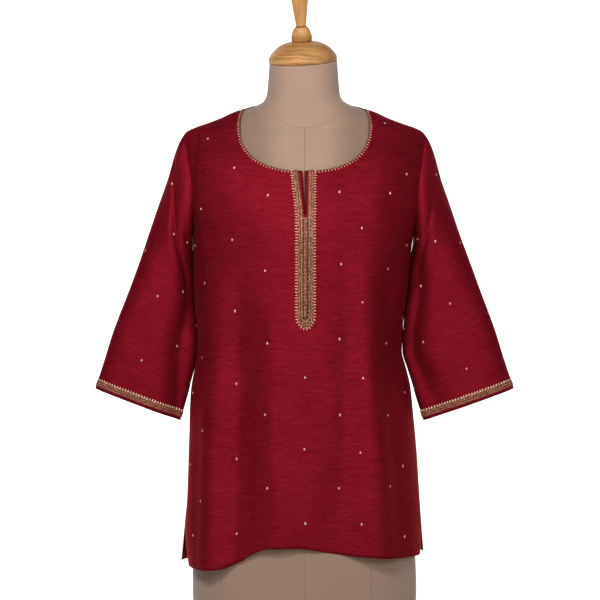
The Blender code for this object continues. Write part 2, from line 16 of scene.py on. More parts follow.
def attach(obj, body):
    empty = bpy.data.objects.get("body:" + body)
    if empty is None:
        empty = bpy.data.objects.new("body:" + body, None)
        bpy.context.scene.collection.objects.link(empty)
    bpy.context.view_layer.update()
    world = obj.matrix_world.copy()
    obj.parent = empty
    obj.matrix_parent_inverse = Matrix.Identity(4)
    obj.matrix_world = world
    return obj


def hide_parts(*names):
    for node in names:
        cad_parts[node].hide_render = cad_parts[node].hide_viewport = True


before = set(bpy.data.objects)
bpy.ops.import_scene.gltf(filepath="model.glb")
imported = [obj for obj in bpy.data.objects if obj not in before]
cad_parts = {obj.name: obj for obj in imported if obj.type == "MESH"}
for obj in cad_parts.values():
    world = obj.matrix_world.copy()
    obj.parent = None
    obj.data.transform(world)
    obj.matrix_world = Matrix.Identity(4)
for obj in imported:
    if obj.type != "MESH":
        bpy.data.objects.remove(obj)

bl_info = {
    "name": "Silk tunic on a dress form",
    "version": (1, 0, 0),
    "blender": (4, 5, 0),
    "location": "3D View > Sidebar > Tunic",
    "description": "Makes a draped silk tunic with woven trims, its dress form and a pale stage",
    "category": "Object",
}

BODY = "root"
MM = 0.001
LEFT, RIGHT = -1, 1
FRONT, BACK = -1, 1
SIDE_NAMES = {LEFT: "left", RIGHT: "right"}

# Cloth: a thin shell whose outer face is the solid's
WALL = 1.5
SHELL = 0.8
SEAM = 0.3
ALLOWANCE = 5.0

# Heights of the tunic's landmarks
UNDERARM = 612.0
SHOULDER_END = 770.0
NECK_SIDE = 806.5
SLIT_TOP = 188.0
CORNER_DROP = 85.0
PLAIN_LEVEL = 400.0
HEM_LEVEL = 120.0

# Neckline, seen from the front
NECK_HALF_WIDTH = 98.5
NECK_SIDE_HALF_WIDTH = 92.0
NECK_WIDEST = 779.0
NECK_DROP = 74.0
NECK_ROUNDNESS = 2.4

# Armhole: an oval round the shoulder end, measured as a turn away from the side seam
ARMHOLE_TURN = math.radians(26.5)
ARMHOLE_ROUNDNESS = 0.9

# Centre slit and side slits
SLIT_HALF_WIDTH = 1.5
SLIT_TAPER = 0.8
SLIT_LEAN = -1.8
PLACKET_LEAN = 1.2
SLIT_SHARE = 0.75
SLIT_SPREAD = {FRONT: math.radians(12), BACK: math.radians(3)}
DEEPEST_OPENING = 1.2

# How near the points of two grids lie where they are one piece
HALVES_JOIN = 0.15
NECK_TRIM_JOIN = 0.6

# Woven strips
NECK_STRIP = 4.5
BAND = 9.3
PLACKET_GAP_TOP = 7.8
CENTRE_STRIP = 3.4
PLACKET_TURN = 486.0
PLACKET_POINT = 469.5
PLACKET_FILLET = 2.5
POINT_ROUNDNESS = 1.25
CUFF_BAND = 10.5
CUFF_HEM = 4.5

# Mesh divisions: quads across half a panel, round half an armhole, up the skirt and the yoke
SKIRT_COLUMNS = 44
ARMHOLE_STEPS = 34
SKIRT_ROWS = 64
YOKE_ROWS = 32
SLEEVE_ROWS = 64
FORM_SIDES = 112
TURNED_SIDES = 96

# Dress form
SHOULDER_CLEAR = 0.85
CHEST_CLEAR = 8.0
BLADE_CLEAR = 11.0
NECK_PLANE = 881.2
NECK_SHEAR_FROM = 835.0
NECK_CENTRE = -2.5
CAP_TILT_FORWARD = math.radians(14)
CAP_TILT_LEFT = math.radians(3)
CAP_HEIGHT = 31.5
FORM_RINGS = ((0, 590, 60), (595, 768, 40), (770, 830, 48), (833, NECK_PLANE, 20))

# The form's seams: the curved one round the neck, and the upright ones as shares of a turn
NECK_SEAM = 804.0
NECK_SEAM_RISE = 0.53
NECK_SEAM_CURL = 0.0045
NECK_SEAM_TURN = 1.3e-6
FORM_SEAMS = (0.5, 0.375, 0.595, 0.25, 0.75, 0.12, 0.88, 0.0, 1.0)
KNOB_GROOVE = 22.4
CAP_TOP = 912.0

# Thickness of the strips' shells, and how far the strips lie off the cloth
STRIP = 0.5
BINDING = 0.3
STRIP_LIFT = 0.1

# Stitches: length, width and thickness, with the spacing where no setting gives it
NECK_TOOTH = (4.0, 1.5, 0.8)
NECK_TOOTH_DROP = 2.9
CUFF_TOOTH = (3.6, 2.0, 1.1)
CUFF_TOOTH_SPACING = 4.4
HEM_STITCH = (2.5, 0.5, 0.3)
HEM_STITCH_SPACING = 3.4
SPOT_THICKNESS = 0.7


def table(names, *rows):
    """A table's columns by name, each an array."""
    return dict(zip(names.split(), np.array(rows, float).T))


# Inner face of the tunic at each height: half widths to the left and right of the centre, and depths
TUNIC = table(
    "height left right front back squareness",
    (95, 187, 182.5, 121, 128, 2.1),
    (164, 184, 179.5, 121, 128, 2.1),
    (203, 180, 177, 121, 127, 2.1),
    (281, 177, 172, 122, 124, 2.12),
    (330, 175.5, 167.5, 122.5, 120, 2.15),
    (378, 172.5, 162.5, 123, 116, 2.2),
    (406, 167.5, 156, 123.5, 114, 2.2),
    (432, 163.5, 149.5, 124, 112.5, 2.2),
    (470, 164, 151, 125, 111, 2.2),
    (511, 168.5, 156, 127, 110, 2.2),
    (560, 170.5, 161.5, 129, 108, 2.2),
    (600, 171, 165, 129, 107, 2.25),
    (612, 171, 167, 128.5, 107, 2.3),
    (650, 178, 177, 121, 109, 2.4),
    (690, 185, 185, 106, 108, 2.4),
    (730, 190, 190, 85.5, 99, 2.3),
    (750, 190.5, 190.5, 74.5, 91, 2.15),
    (762, 188, 188, 69, 84, 2.05),
    (770, 183, 183, 65.5, 79, 2),
    (776.5, 171, 171, 62.5, 77, 1.95),
    (783, 152.5, 152.5, 60.5, 74, 1.9),
    (791.5, 130, 130, 59, 71.5, 1.85),
    (802, 107, 107, 58, 69, 1.85),
    (806.5, 92, 92, 57.5, 68, 1.9),
    (812, 84, 84, 57, 66.5, 1.9),
    (820, 76, 76, 57, 65, 2),
)

# The dress form below its shoulders, and its neck
FORM_BODY = (
    (0, 168, 168, 103, 112, 2.2),
    (62, 173, 173, 105, 115, 2.2),
    (150, 173, 170, 106, 116, 2.2),
    (200, 170, 167, 105, 114, 2.2),
    (250, 165, 162, 104, 109, 2.2),
    (300, 157, 154, 101, 102, 2.2),
    (350, 147, 144, 98, 95, 2.2),
    (400, 137, 134, 96, 88, 2.2),
    (450, 131, 130, 95, 83, 2.2),
    (500, 133, 132, 100, 85, 2.2),
    (550, 141, 140, 113, 92, 2.2),
    (590, 149, 148, 124, 98, 2.25),
    (612, 152, 151, 124.5, 100, 2.3),
    (650, 157, 156, 117, 103, 2.4),
    (690, 163, 163, 102, 104, 2.4),
    (730, 170, 170, 82.5, 95, 2.3),
    (750, 175, 175, 72, 87, 2.15),
    (762, 177, 177, 66.5, 81, 2.05),
)
FORM_NECK = (
    (810, 80, 80, 54.5, 62.5, 1.9),
    (814, 71, 70, 54.5, 60.5, 1.95),
    (820, 62.5, 60, 54.5, 58, 2),
    (830, 58.5, 55, 54, 56, 2),
    (850, 56.5, 53, 54, 55, 2),
    (NECK_PLANE, 54.5, 50.5, 53, 54, 2),
)

# Back neckline: its height at each turn from the centre back to the side of the neck, in degrees
BACK_NECKLINE = table(
    "turn height",
    (0, 811),
    (25, 812.5),
    (50, 814.5),
    (68, 813.5),
    (80, 810.5),
    (90, NECK_SIDE),
)

# Bottom edges, from the left side to the right
HEM = {
    FRONT: table(
        "across height",
        (-180, 103),
        (-160, 103),
        (-141, 105.5),
        (-119, 114),
        (-104, 120),
        (-88, 129),
        (-58, 138.5),
        (-15, 139.5),
        (26, 134.5),
        (54, 130),
        (108, 124),
        (150, 120.5),
        (180, 119.5),
    ),
    BACK: table(
        "across height",
        (-190, 107.5),
        (-150, 106),
        (-100, 113),
        (-50, 120),
        (10, 117),
        (70, 123),
        (120, 118),
        (190, 123),
    ),
}

# How far each bottom corner stands out of the section, from this share of the half width outwards
CORNER_CURL = {(FRONT, LEFT): -8, (FRONT, RIGHT): -4, (BACK, LEFT): 4, (BACK, RIGHT): 3}
CORNER_START = 0.84

# Long soft folds: crests and troughs in order across each face. Each has a place at every level, how
# far it stands out there, and the cloth runs smoothly from one to the next
FOLD_LEVELS = (100, 220, 320, 420, 520, 600, 690)
FOLD_TOP = 785.0
FOLD_TOP_FADE = 70.0
FOLDS = {
    FRONT: (
        ((-200, -200, -200, -200, -200, -200, -200), (0, 0, 0, 0, 0, 0, 0)),
        ((-164, -163, -162, -160, -160, -160, -162), (3, 4, 4, 3, 1, 0, 0)),
        ((-144, -141, -138, -136, -134, -146, -158), (11, 12, 12, 10, 8, 7, 8)),
        ((-106, -104, -102, -100, -94, -78, -76), (-9, -10, -10, -8, -3, 0, 1)),
        ((-36, -42, -44, -44, -40, -34, -30), (1, 1, 1, 1, 0, 0, 0)),
        ((2, 3, 5, 6, 5, 4, 4), (-3, -3, -3, -2, -1, 0, 0)),
        ((44, 54, 59, 60, 58, 56, 56), (-8, -9, -7, -4, -1, 0, 0)),
        ((120, 111, 104, 94, 92, 118, 148), (9, 11, 11, 10, 8, 7, 8)),
        ((154, 147, 139, 130, 128, 152, 172), (-3, -4, -4, -4, -3, 1, 3)),
        ((200, 200, 200, 200, 200, 200, 200), (0, 0, 0, 0, 0, 0, 0)),
    ),
    BACK: (
        ((-200, -200, -200, -200, -200, -200, -200), (0, 0, 0, 0, 0, 0, 0)),
        ((-122, -117, -114, -112, -110, -110, -110), (-6, -6, -5, -3, 0, 0, 0)),
        ((-74, -70, -66, -62, -60, -60, -60), (8, 9, 8, 5, 1, 0, 0)),
        ((-6, -2, 2, 4, 4, 4, 4), (-6, -7, -6, -3, 0, 0, 0)),
        ((82, 77, 72, 68, 64, 62, 62), (9, 10, 9, 6, 1, 0, 0)),
        ((126, 122, 120, 118, 118, 118, 118), (-6, -6, -5, -2, 0, 0, 0)),
        ((200, 200, 200, 200, 200, 200, 200), (0, 0, 0, 0, 0, 0, 0)),
    ),
}
SIDE_FADE = 0.3

# The front's lower middle turns in towards the form: from this height down, and how far at the hem
TURN_IN = table("across depth", (-150, 0), (-70, 1.5), (-10, 6.5), (45, 7.5), (95, 4), (150, 1))
TURN_IN_FROM = 235.0
TURN_IN_RUN = 105.0

# Short creases, each from a start to an end (across, height), with its depth and half width
CREASES = table(
    "face across height end_across end_height depth width",
    (FRONT, -163, 560, -127, 580, -1.6, 5),
    (FRONT, 160, 556, 128, 574, -1.5, 5),
    (FRONT, -150, 700, -118, 640, -1.5, 12),
    (FRONT, 152, 704, 122, 655, -1.3, 12),
    (FRONT, -132, 742, -108, 700, 0.9, 10),
    (FRONT, 128, 735, 110, 694, 0.8, 9),
    (FRONT, -60, 470, -92, 380, -1.4, 11),
    (FRONT, -30, 430, -50, 290, 1.1, 13),
    (FRONT, 34, 420, 46, 300, 1.2, 12),
    (FRONT, 108, 420, 102, 330, -1.3, 8),
    (FRONT, -134, 400, -130, 250, -1.6, 8),
    (FRONT, 150, 380, 146, 230, 1.4, 9),
    (FRONT, -40, 250, -30, 150, 1.3, 12),
    (FRONT, 20, 230, 26, 145, -1.2, 12),
    (FRONT, 74, 215, 70, 140, -1.1, 9),
    (BACK, -150, 690, -112, 640, -1.5, 12),
    (BACK, 148, 700, 116, 645, -1.4, 12),
    (BACK, -100, 760, -60, 730, 0.9, 11),
    (BACK, 96, 764, 62, 738, 0.8, 10),
    (BACK, -20, 690, -30, 600, -0.9, 16),
    (BACK, 30, 660, 36, 560, 0.8, 15),
    (BACK, -90, 470, -100, 340, -1.5, 10),
    (BACK, 34, 430, 40, 280, 1.4, 12),
    (BACK, 98, 440, 104, 300, -1.3, 9),
    (BACK, -36, 380, -30, 240, 1.2, 11),
    (BACK, -150, 360, -146, 220, 1.4, 9),
    (BACK, 20, 240, 10, 150, -1.3, 12),
)
RIPPLE = 0.22

# Outer and inner edges of the sleeve; "away" is how far the inner edge is from the body
SLEEVE = table(
    "along outer_across outer_height inner_height away depth outer inner",
    (0.0, 184, 770, 608, 4.2, 56, 1.8, 2.0),
    (0.2, 213, 690, 577, 3, 52, 1.75, 1.9),
    (0.4, 243, 604, 527, 2.7, 44, 2.7, 1.9),
    (0.575, 268, 531, 473, 2.6, 39.5, 3.9, 1.95),
    (0.74, 293, 464.5, 428, 3.2, 35, 4.3, 2.0),
    (0.87, 309, 414.5, 376, 6.5, 31, 4.2, 2.05),
    (1.0, 322.5, 375, 325.5, 17.5, 26, 3.8, 2.1),
)
SLEEVE_LENGTH = 420.0
SLEEVE_GIRTH = 330.0
CAP_END = 0.2

# Where the sleeve leaves the armhole: how far it starts above the cloth and outside its edge
ARMHOLE_LAP = table(
    "angle above outside",
    (0, 0, 0.5),
    (20, 0.2, 1.2),
    (45, 1.9, 0.9),
    (100, 2.2, 0.3),
    (150, 3.5, 0.2),
    (180, 3.9, 0.0),
)

# A crease down each face of each sleeve: where it lies round the sleeve, in degrees, and its depth
SLEEVE_FOLDS = {
    LEFT: (
        table(
            "along angle depth",
            *((0.04, 24, 0), (0.13, 44, 7), (0.2, 74, 9), (0.28, 100, 9), (0.35, 132, 7), (0.5, 172, 0)),
        ),
        table(
            "along angle depth",
            *((0.04, -45, 0), (0.12, -66, 4), (0.23, -92, 7), (0.34, -122, 6), (0.46, -158, 0)),
        ),
    ),
    RIGHT: (
        table(
            "along angle depth",
            *((0.05, 40, 0), (0.14, 66, 2), (0.22, 96, 4), (0.32, 130, 4), (0.46, 164, 0)),
        ),
        table(
            "along angle depth",
            *((0.05, -40, 0), (0.13, -70, 5), (0.22, -98, 6), (0.33, -128, 5), (0.46, -158, 0)),
        ),
    ),
}
SLEEVE_FOLD_WIDTH = 15.0

# Soft hollows and swells of the sleeve: middle, reach along and round it, and depth
SLEEVE_CREASES = table(
    "along angle long wide depth",
    (0.66, 140, 0.38, 20, -10.5),
    (0.62, -140, 0.36, 20, -5),
    (0.5, 60, 0.14, 30, 1.1),
    (0.8, 70, 0.14, 24, 1.2),
    (0.42, 20, 0.1, 26, -0.8),
    (0.58, 168, 0.05, 40, -1.0),
    (0.66, 178, 0.045, 46, 0.9),
    (0.52, -160, 0.05, 44, 0.9),
    (0.6, -110, 0.2, 28, -1.7),
    (0.75, -60, 0.16, 26, 1.2),
    (0.4, -40, 0.12, 28, -0.9),
    (0.88, 140, 0.1, 24, -1.1),
    (0.9, -140, 0.1, 24, -1.0),
)

# Turned wooden cap and knob: radius and height up their own axis
CAP_PROFILE = (
    (51, 0),
    (52.4, 0.8),
    (53.1, 2.6),
    (53.2, 5),
    (52.6, 7.4),
    (50.6, 10.4),
    (46.8, 15.6),
    (42, 20),
    (37.6, 23.4),
    (33, 26),
    (27.6, 28.3),
    (22, 29.8),
    (16, 30.9),
    (10, CAP_HEIGHT),
)
KNOB_PROFILE = (
    (15.0, 0),
    (15.9, 1.4),
    (16.2, 3.8),
    (16.1, 6.6),
    (15.3, 10),
    (14.3, 13.6),
    (13, 17),
    (11.4, 19.8),
    (9.6, 21.5),
    (8.1, 22),
    (8.0, 22.8),
    (8.1, 25),
    (8.6, 29),
    (9.5, 36),
    (10.6, 44),
    (12.4, 58),
    (14, 71),
    (15.3, 80),
    (15.9, 87),
    (16.1, 92),
    (15.6, 98),
    (14.3, 104),
    (12, 109.4),
    (8.6, 113.6),
    (5, 115.8),
    (2, 116.5),
)

# Woven spots: columns across each face, with the height of one spot of each, and the step between rows
SPOT_COLUMNS = table(
    "face across height",
    (FRONT, -168, 592),
    (FRONT, -148, 536),
    (FRONT, -106, 493),
    (FRONT, -57, 448),
    (FRONT, 0, 396),
    (FRONT, 53, 452),
    (FRONT, 84, 506),
    (FRONT, 124, 449),
    (FRONT, 152, 592),
    (BACK, -164, 574),
    (BACK, -138, 520),
    (BACK, -98, 470),
    (BACK, -50, 526),
    (BACK, 2, 474),
    (BACK, 54, 530),
    (BACK, 100, 478),
    (BACK, 136, 524),
    (BACK, 160, 580),
)
SPOT_ROW = 110.0
SPOT_CLEAR = 9.0

# The same round the sleeves: angle in degrees, share of the length, and the step between rows
SLEEVE_SPOTS = table(
    "angle along",
    (35, 0.42),
    (82, 0.56),
    (128, 0.44),
    (175, 0.6),
    (-38, 0.5),
    (-85, 0.38),
    (-130, 0.52),
)
SLEEVE_SPOT_ROW = 0.27


def monotone(xs, ys, at):
    """Smooth interpolation that never overshoots the table's highs and lows."""
    at = np.clip(at, xs[0], xs[-1])
    step = np.diff(xs)
    slope = np.diff(ys) / step
    same = slope[:-1] * slope[1:] > 0
    inner = np.where(same, 2 * slope[:-1] * slope[1:] / np.where(same, slope[:-1] + slope[1:], 1), 0)
    tangent = np.concatenate([slope[:1], inner, slope[-1:]])
    cell = np.clip(np.searchsorted(xs, at, side="right") - 1, 0, len(step) - 1)
    width = step[cell]
    t = (at - xs[cell]) / width
    value = (1 + 2 * t) * (1 - t) ** 2 * ys[cell] + t * (1 - t) ** 2 * width * tangent[cell]
    return value + t * t * (3 - 2 * t) * ys[cell + 1] + t * t * (t - 1) * width * tangent[cell + 1]


def column(rows, name, at):
    first = next(iter(rows))
    return monotone(rows[first], rows[name], at)


def each(rows):
    """A table's rows, each a dict of its numbers."""
    return [dict(zip(rows, values)) for values in zip(*rows.values())]


def smoothstep(value):
    value = np.clip(value, 0, 1)
    return value * value * (3 - 2 * value)


def unit(vectors):
    return vectors / np.linalg.norm(vectors, axis=-1, keepdims=True)


def half_width(rows, side, height):
    return column(rows, "left" if side == LEFT else "right", height)


def torso(rows, turn, height):
    """Points on a body of rounded sections; turn runs from the centre front towards +X."""
    turn, height = np.broadcast_arrays(turn, height)
    sine, cosine = np.sin(turn), np.cos(turn)
    across = np.where(sine < 0, half_width(rows, LEFT, height), half_width(rows, RIGHT, height))
    depth = np.where(cosine > 0, column(rows, "front", height), column(rows, "back", height))
    square = column(rows, "squareness", height)
    reach = (abs(sine) ** square + abs(cosine) ** square) ** (-1 / square)
    point = np.stack([across * reach * sine, -depth * reach * cosine, height], axis=-1)
    power = square - 1
    normal = np.stack(
        [
            np.sign(sine) * abs(reach * sine) ** power / across,
            -np.sign(cosine) * abs(reach * cosine) ** power / depth,
            np.zeros_like(across),
        ],
        axis=-1,
    )
    return point, unit(normal)


def slit_opening(height):
    """Nothing at the top of the side slits, and 1 at the bottom corners."""
    return np.clip((SLIT_TOP - height) / CORNER_DROP, 0, DEEPEST_OPENING) ** 2


def crease_height(across, height, face):
    """Short creases, each a soft valley or ridge along a line, and a faint unevenness over all."""
    total = RIPPLE * (
        np.sin(across / 9.7 + height / 31 + 1.3 * np.sin(height / 47))
        + np.sin(across / 15.3 - height / 58 + 1.7 * np.sin(across / 39 + height / 83))
        + 0.6 * np.sin(height / 11.3 + across / 43 + 2 * np.sin(across / 61))
    )
    for crease in each(CREASES):
        run = (crease["end_across"] - crease["across"], crease["end_height"] - crease["height"])
        length = math.hypot(*run)
        beside = ((across - crease["across"]) * run[1] - (height - crease["height"]) * run[0]) / length
        share = ((across - crease["across"]) * run[0] + (height - crease["height"]) * run[1]) / length**2
        ends = smoothstep((share + 0.35) / 0.5) * smoothstep((1.35 - share) / 0.5)
        shape = np.exp(-((beside / crease["width"]) ** 2)) * ends
        total = total + np.where(face == crease["face"], crease["depth"] * shape, 0)
    return total


def long_folds(across, height, lines):
    """How far one face's long folds stand out."""
    total = np.zeros_like(across)
    levels = np.array(FOLD_LEVELS, float)
    places = [[monotone(levels, np.array(row, float), height) for row in line] for line in lines]
    for (start, low), (end, high) in zip(places, places[1:]):
        share = (across - start) / (end - start)
        inside = (share >= 0) & (share < 1)
        total = np.where(inside, low + (high - low) * smoothstep(share), total)
    return total * smoothstep((FOLD_TOP - height) / FOLD_TOP_FADE)


def fold_height(point, turn):
    """How far the folds, creases and bottom corners stand out of the plain section."""
    across, height = point[..., 0], point[..., 2]
    face = np.where(np.cos(turn) > 0, FRONT, BACK)
    total = np.where(
        face == FRONT, long_folds(across, height, FOLDS[FRONT]), long_folds(across, height, FOLDS[BACK])
    )
    inwards = column(TURN_IN, "depth", across) * np.clip((TURN_IN_FROM - height) / TURN_IN_RUN, 0, 1.2) ** 2
    total -= np.where(face == FRONT, inwards, 0)
    flat_yoke = smoothstep((SHOULDER_END - 10 - height) / 40)
    total += crease_height(across, height, face) * flat_yoke
    total *= smoothstep(abs(np.cos(turn)) / SIDE_FADE)
    drop = slit_opening(height)
    for (corner_face, side), curl in CORNER_CURL.items():
        share = side * across / half_width(TUNIC, side, height)
        near = smoothstep((share - CORNER_START) / (1 - CORNER_START))
        total += np.where(face == corner_face, curl * drop * near, 0)
    return total


def cloth(turn, height):
    """The inner face of the tunic's body."""
    point, normal = torso(TUNIC, turn, height)
    return point + fold_height(point, np.broadcast_to(turn, point.shape[:-1]))[..., None] * normal


def lifted(surface, u, v, lift, sign):
    """Points of a surface moved out by lift, along its own normal."""
    step_u, step_v = 1e-3, 0.5 if np.max(v) > 2 else 1e-3
    along_u = surface(u + step_u, v) - surface(u - step_u, v)
    along_v = surface(u, v + step_v) - surface(u, v - step_v)
    return surface(u, v) + sign * lift * unit(np.cross(along_u, along_v))


def panel_turn(face, side, quarter):
    """The turn of a point that lies quarter round from the centre front or centre back."""
    return side * quarter if face == FRONT else math.pi - side * quarter


def quarter_of(side, across, height):
    """How far round from the centre a point lies, from how far across it is."""
    square = column(TUNIC, "squareness", height)
    share = np.clip(side * across / half_width(TUNIC, side, height), -1, 1)
    return np.arctan2(share, np.sign(1 - share) * (1 - abs(share) ** square) ** (1 / square))


def lengths(points):
    """How far along a row each of its points is."""
    return np.concatenate([[0], np.cumsum(np.linalg.norm(np.diff(points, axis=0), axis=-1))])


def resampled(points, *values, count):
    """The values at count + 1 places, evenly spaced along the points."""
    length = lengths(points)
    places = np.linspace(0, length[-1], count + 1)
    return [np.interp(places, length, value) for value in values]


def neckline_front(side, first_across, count):
    """(quarter, height) along the front neckline, from the slit to the side of the neck."""
    t = np.linspace(0, 1, 200)
    across = NECK_HALF_WIDTH * np.sin(t * math.pi / 2) ** (2 / NECK_ROUNDNESS)
    height = NECK_WIDEST - NECK_DROP * np.cos(t * math.pi / 2) ** (2 / NECK_ROUNDNESS)
    rise = np.linspace(0, 1, 60)[1:]
    across = np.append(across, NECK_HALF_WIDTH - (NECK_HALF_WIDTH - NECK_SIDE_HALF_WIDTH) * rise**2)
    height = np.append(height, NECK_WIDEST + (NECK_SIDE - NECK_WIDEST) * rise)
    kept = across > side * first_across
    across = np.append(side * first_across, across[kept])
    height = np.append(height[~kept][-1] if (~kept).any() else height[0], height[kept])
    quarter = quarter_of(side, side * across, height)
    return resampled(cloth(side * quarter, height), quarter, height, count=count)


def neckline_back(side, count):
    quarter = np.linspace(0, math.pi / 2, 200)
    height = column(BACK_NECKLINE, "height", np.degrees(quarter))
    return resampled(cloth(math.pi - side * quarter, height), quarter, height, count=count)


def seam_quarter(face, height):
    """The quarter of a panel's side edge: just short of the seam, and further below the slit's top."""
    depth = column(TUNIC, "front" if face == FRONT else "back", height)
    return math.pi / 2 - SEAM / 2 / depth - SLIT_SPREAD[face] * slit_opening(height)


def armhole(angle):
    """(quarter, height) of the armhole; angle runs from the shoulder end to the underarm."""
    middle, half = (SHOULDER_END + UNDERARM) / 2, (SHOULDER_END - UNDERARM) / 2
    bend = abs(np.sin(angle)) ** ARMHOLE_ROUNDNESS
    return math.pi / 2 - ARMHOLE_TURN * bend, middle + half * np.cos(angle)


def slit_head():
    return NECK_WIDEST - NECK_DROP


def slit_foot():
    return slit_head() - (slit_head() - UNDERARM) * SLIT_SHARE


def slit_share(height):
    """Nothing at the foot of the centre slit, and 1 at its head."""
    return np.clip((height - slit_foot()) / (slit_head() - slit_foot()), 0, 1)


def centre_across(height):
    """How far across the centre line of the slit and placket is."""
    return PLACKET_LEAN + (SLIT_LEAN - PLACKET_LEAN) * smoothstep(slit_share(height))


def slit_edge(side, height):
    return centre_across(height) + side * SLIT_HALF_WIDTH * slit_share(height) ** SLIT_TAPER


def column_shares(side):
    """Shares of a half panel's width that space its columns evenly along the cloth."""
    quarter = np.linspace(0, math.pi / 2, 300)
    points, _ = torso(TUNIC, side * quarter, PLAIN_LEVEL)
    (even,) = resampled(points, quarter, count=SKIRT_COLUMNS)
    return even / even[-1]


def between(inner, outer, first, last, down):
    """A patch between an inner and an outer edge and the first and last of the rays that join them."""
    s = np.linspace(0, 1, len(inner))[None, :, None]
    r = down[..., None]
    patch = (1 - r) * inner + r * outer + (1 - s) * first(down) + s * last(down)
    corners = (1 - r) * ((1 - s) * inner[0] + s * inner[-1]) + r * ((1 - s) * outer[0] + s * outer[-1])
    return patch - corners


def hem_height(face, side, share):
    """The height of the bottom edge at each share of a half panel's width."""
    foot, _ = torso(TUNIC, panel_turn(face, side, share * math.pi / 2), HEM_LEVEL)
    return column(HEM[face], "height", foot[..., 0])


def skirt_rows(face, side, height):
    """(quarter, height) across a half panel below the underarm, at these heights."""
    start = quarter_of(side, centre_across(height), height) if face == FRONT else 0 * height
    share = column_shares(side)[None, :]
    return np.stack([start + share * (seam_quarter(face, height) - start), height], axis=-1)


def half_panel(face, side):
    """Rows of (quarter, height) for one half of the front or back: the skirt's, then the yoke's."""
    hem = hem_height(face, side, column_shares(side)[None, :])
    rise = np.linspace(0, 1, SKIRT_ROWS + 1)[:, None]
    skirt = skirt_rows(face, side, hem + (UNDERARM - hem) * rise)

    steps = SKIRT_COLUMNS + ARMHOLE_STEPS
    if face == FRONT:
        neckline = neckline_front(side, slit_edge(side, slit_head()), steps)
    else:
        neckline = neckline_back(side, steps)
    inner = np.stack(neckline, axis=-1)

    def centre_line(down):
        level = inner[0, 1] + (UNDERARM - inner[0, 1]) * down
        if face == BACK:
            return np.stack([0 * level, level], axis=-1)
        return np.stack([quarter_of(side, slit_edge(side, level), level), level], axis=-1)

    def shoulder_line(down):
        level = NECK_SIDE + (SHOULDER_END - NECK_SIDE) * down
        return np.stack([seam_quarter(face, level), level], axis=-1)

    angle = np.linspace(math.pi, 0, ARMHOLE_STEPS + 1)[1:]
    quarter, level = armhole(angle)
    quarter = np.minimum(quarter, seam_quarter(face, level))
    outer = np.concatenate([skirt[-1], np.stack([quarter, level], axis=-1)])
    inner[-1], outer[-1] = shoulder_line(np.array([0.0, 1.0]))
    down = np.repeat(np.linspace(0, 1, YOKE_ROWS + 1)[:, None], steps + 1, axis=1)
    return skirt, between(inner, outer, centre_line, shoulder_line, down)[::-1]


def cloth_rows(face, side, rows, lift=0.0):
    turn = panel_turn(face, side, rows[..., 0])
    return lifted(cloth, turn, rows[..., 1], lift, 1)


def panel_weave(face, side, rows):
    """Where a panel's points lie on the flat cloth, in metres: across from the centre, and up."""
    quarter = np.linspace(0, math.pi / 2, 200)
    points, _ = torso(TUNIC, panel_turn(face, side, quarter), PLAIN_LEVEL)
    across = side * np.interp(rows[..., 0], quarter, lengths(points))
    return np.stack([across + 400 + 300 * face, rows[..., 1]], axis=-1) * MM


def sleeve_loft(side, angle, along):
    """The sleeve's sections with no cap: points and in-section normals."""
    outer = [column(SLEEVE, name, along) for name in ("outer_across", "outer_height")]
    inner_height = column(SLEEVE, "inner_height", along)
    inner_across = half_width(TUNIC, side, inner_height) + column(SLEEVE, "away", along)
    depth = column(SLEEVE, "depth", along)
    cosine, sine = np.cos(angle), np.sin(angle)
    square = np.where(cosine > 0, column(SLEEVE, "outer", along), column(SLEEVE, "inner", along))
    reach = (abs(cosine) ** square + abs(sine) ** square) ** (-1 / square)
    middle = ((outer[0] + inner_across) / 2, (outer[1] + inner_height) / 2)
    arm = ((outer[0] - inner_across) / 2, (outer[1] - inner_height) / 2)
    half = np.hypot(*arm)
    across = middle[0] + arm[0] * reach * cosine
    height = middle[1] + arm[1] * reach * cosine
    point = np.stack([side * across, -depth * reach * sine, height], axis=-1)
    out = [side * arm[0] * cosine / half**2, -sine / depth, arm[1] * cosine / half**2]
    return point, unit(np.stack(out, axis=-1))


def turned_by(degrees, middle):
    """Degrees from a place round the sleeve, from -180 to 180."""
    return (degrees - middle + 180) % 360 - 180


def sleeve_relief(angle, along, side):
    """How far the sleeve's creases and swells stand out."""
    degrees = np.degrees(angle)
    total = np.zeros_like(along)
    for rows in SLEEVE_FOLDS[side]:
        away = turned_by(degrees, column(rows, "angle", along))
        total -= column(rows, "depth", along) * np.exp(-((away / SLEEVE_FOLD_WIDTH) ** 2))
    for crease in each(SLEEVE_CREASES):
        away = turned_by(degrees, crease["angle"] + 9 * side * np.sin(11 * along)) / crease["wide"]
        far = (along - crease["along"] + 0.02 * side) / crease["long"]
        total += crease["depth"] * np.exp(-(away**2) - far**2)
    ripple = np.sin(3 * angle + 9 * along + side) + np.sin(5 * angle - 14 * along + 2 * side)
    return total + RIPPLE * ripple * smoothstep(along / CAP_END)


def armhole_start(side, angle):
    """Where the sleeve starts, the direction in which it leaves, and the cloth's normal there."""
    bend, height = armhole(angle)
    turn = side * (math.pi / 2 - np.sign(np.sin(angle)) * (math.pi / 2 - bend))
    base = cloth(turn, height)
    normal = lifted(cloth, turn, height, 1.0, 1) - base
    fold = np.degrees(abs((angle + math.pi) % (2 * math.pi) - math.pi))
    lean = 1 - np.cos(angle)
    leave = unit(
        np.stack([side * (0.62 - 0.23 * lean), -0.3 * np.sin(angle), -0.8 - 0.08 * lean], axis=-1)
    )
    above = column(ARMHOLE_LAP, "above", fold)[..., None]
    outside = column(ARMHOLE_LAP, "outside", fold)[..., None]
    return base + above * normal + outside * leave, leave, normal


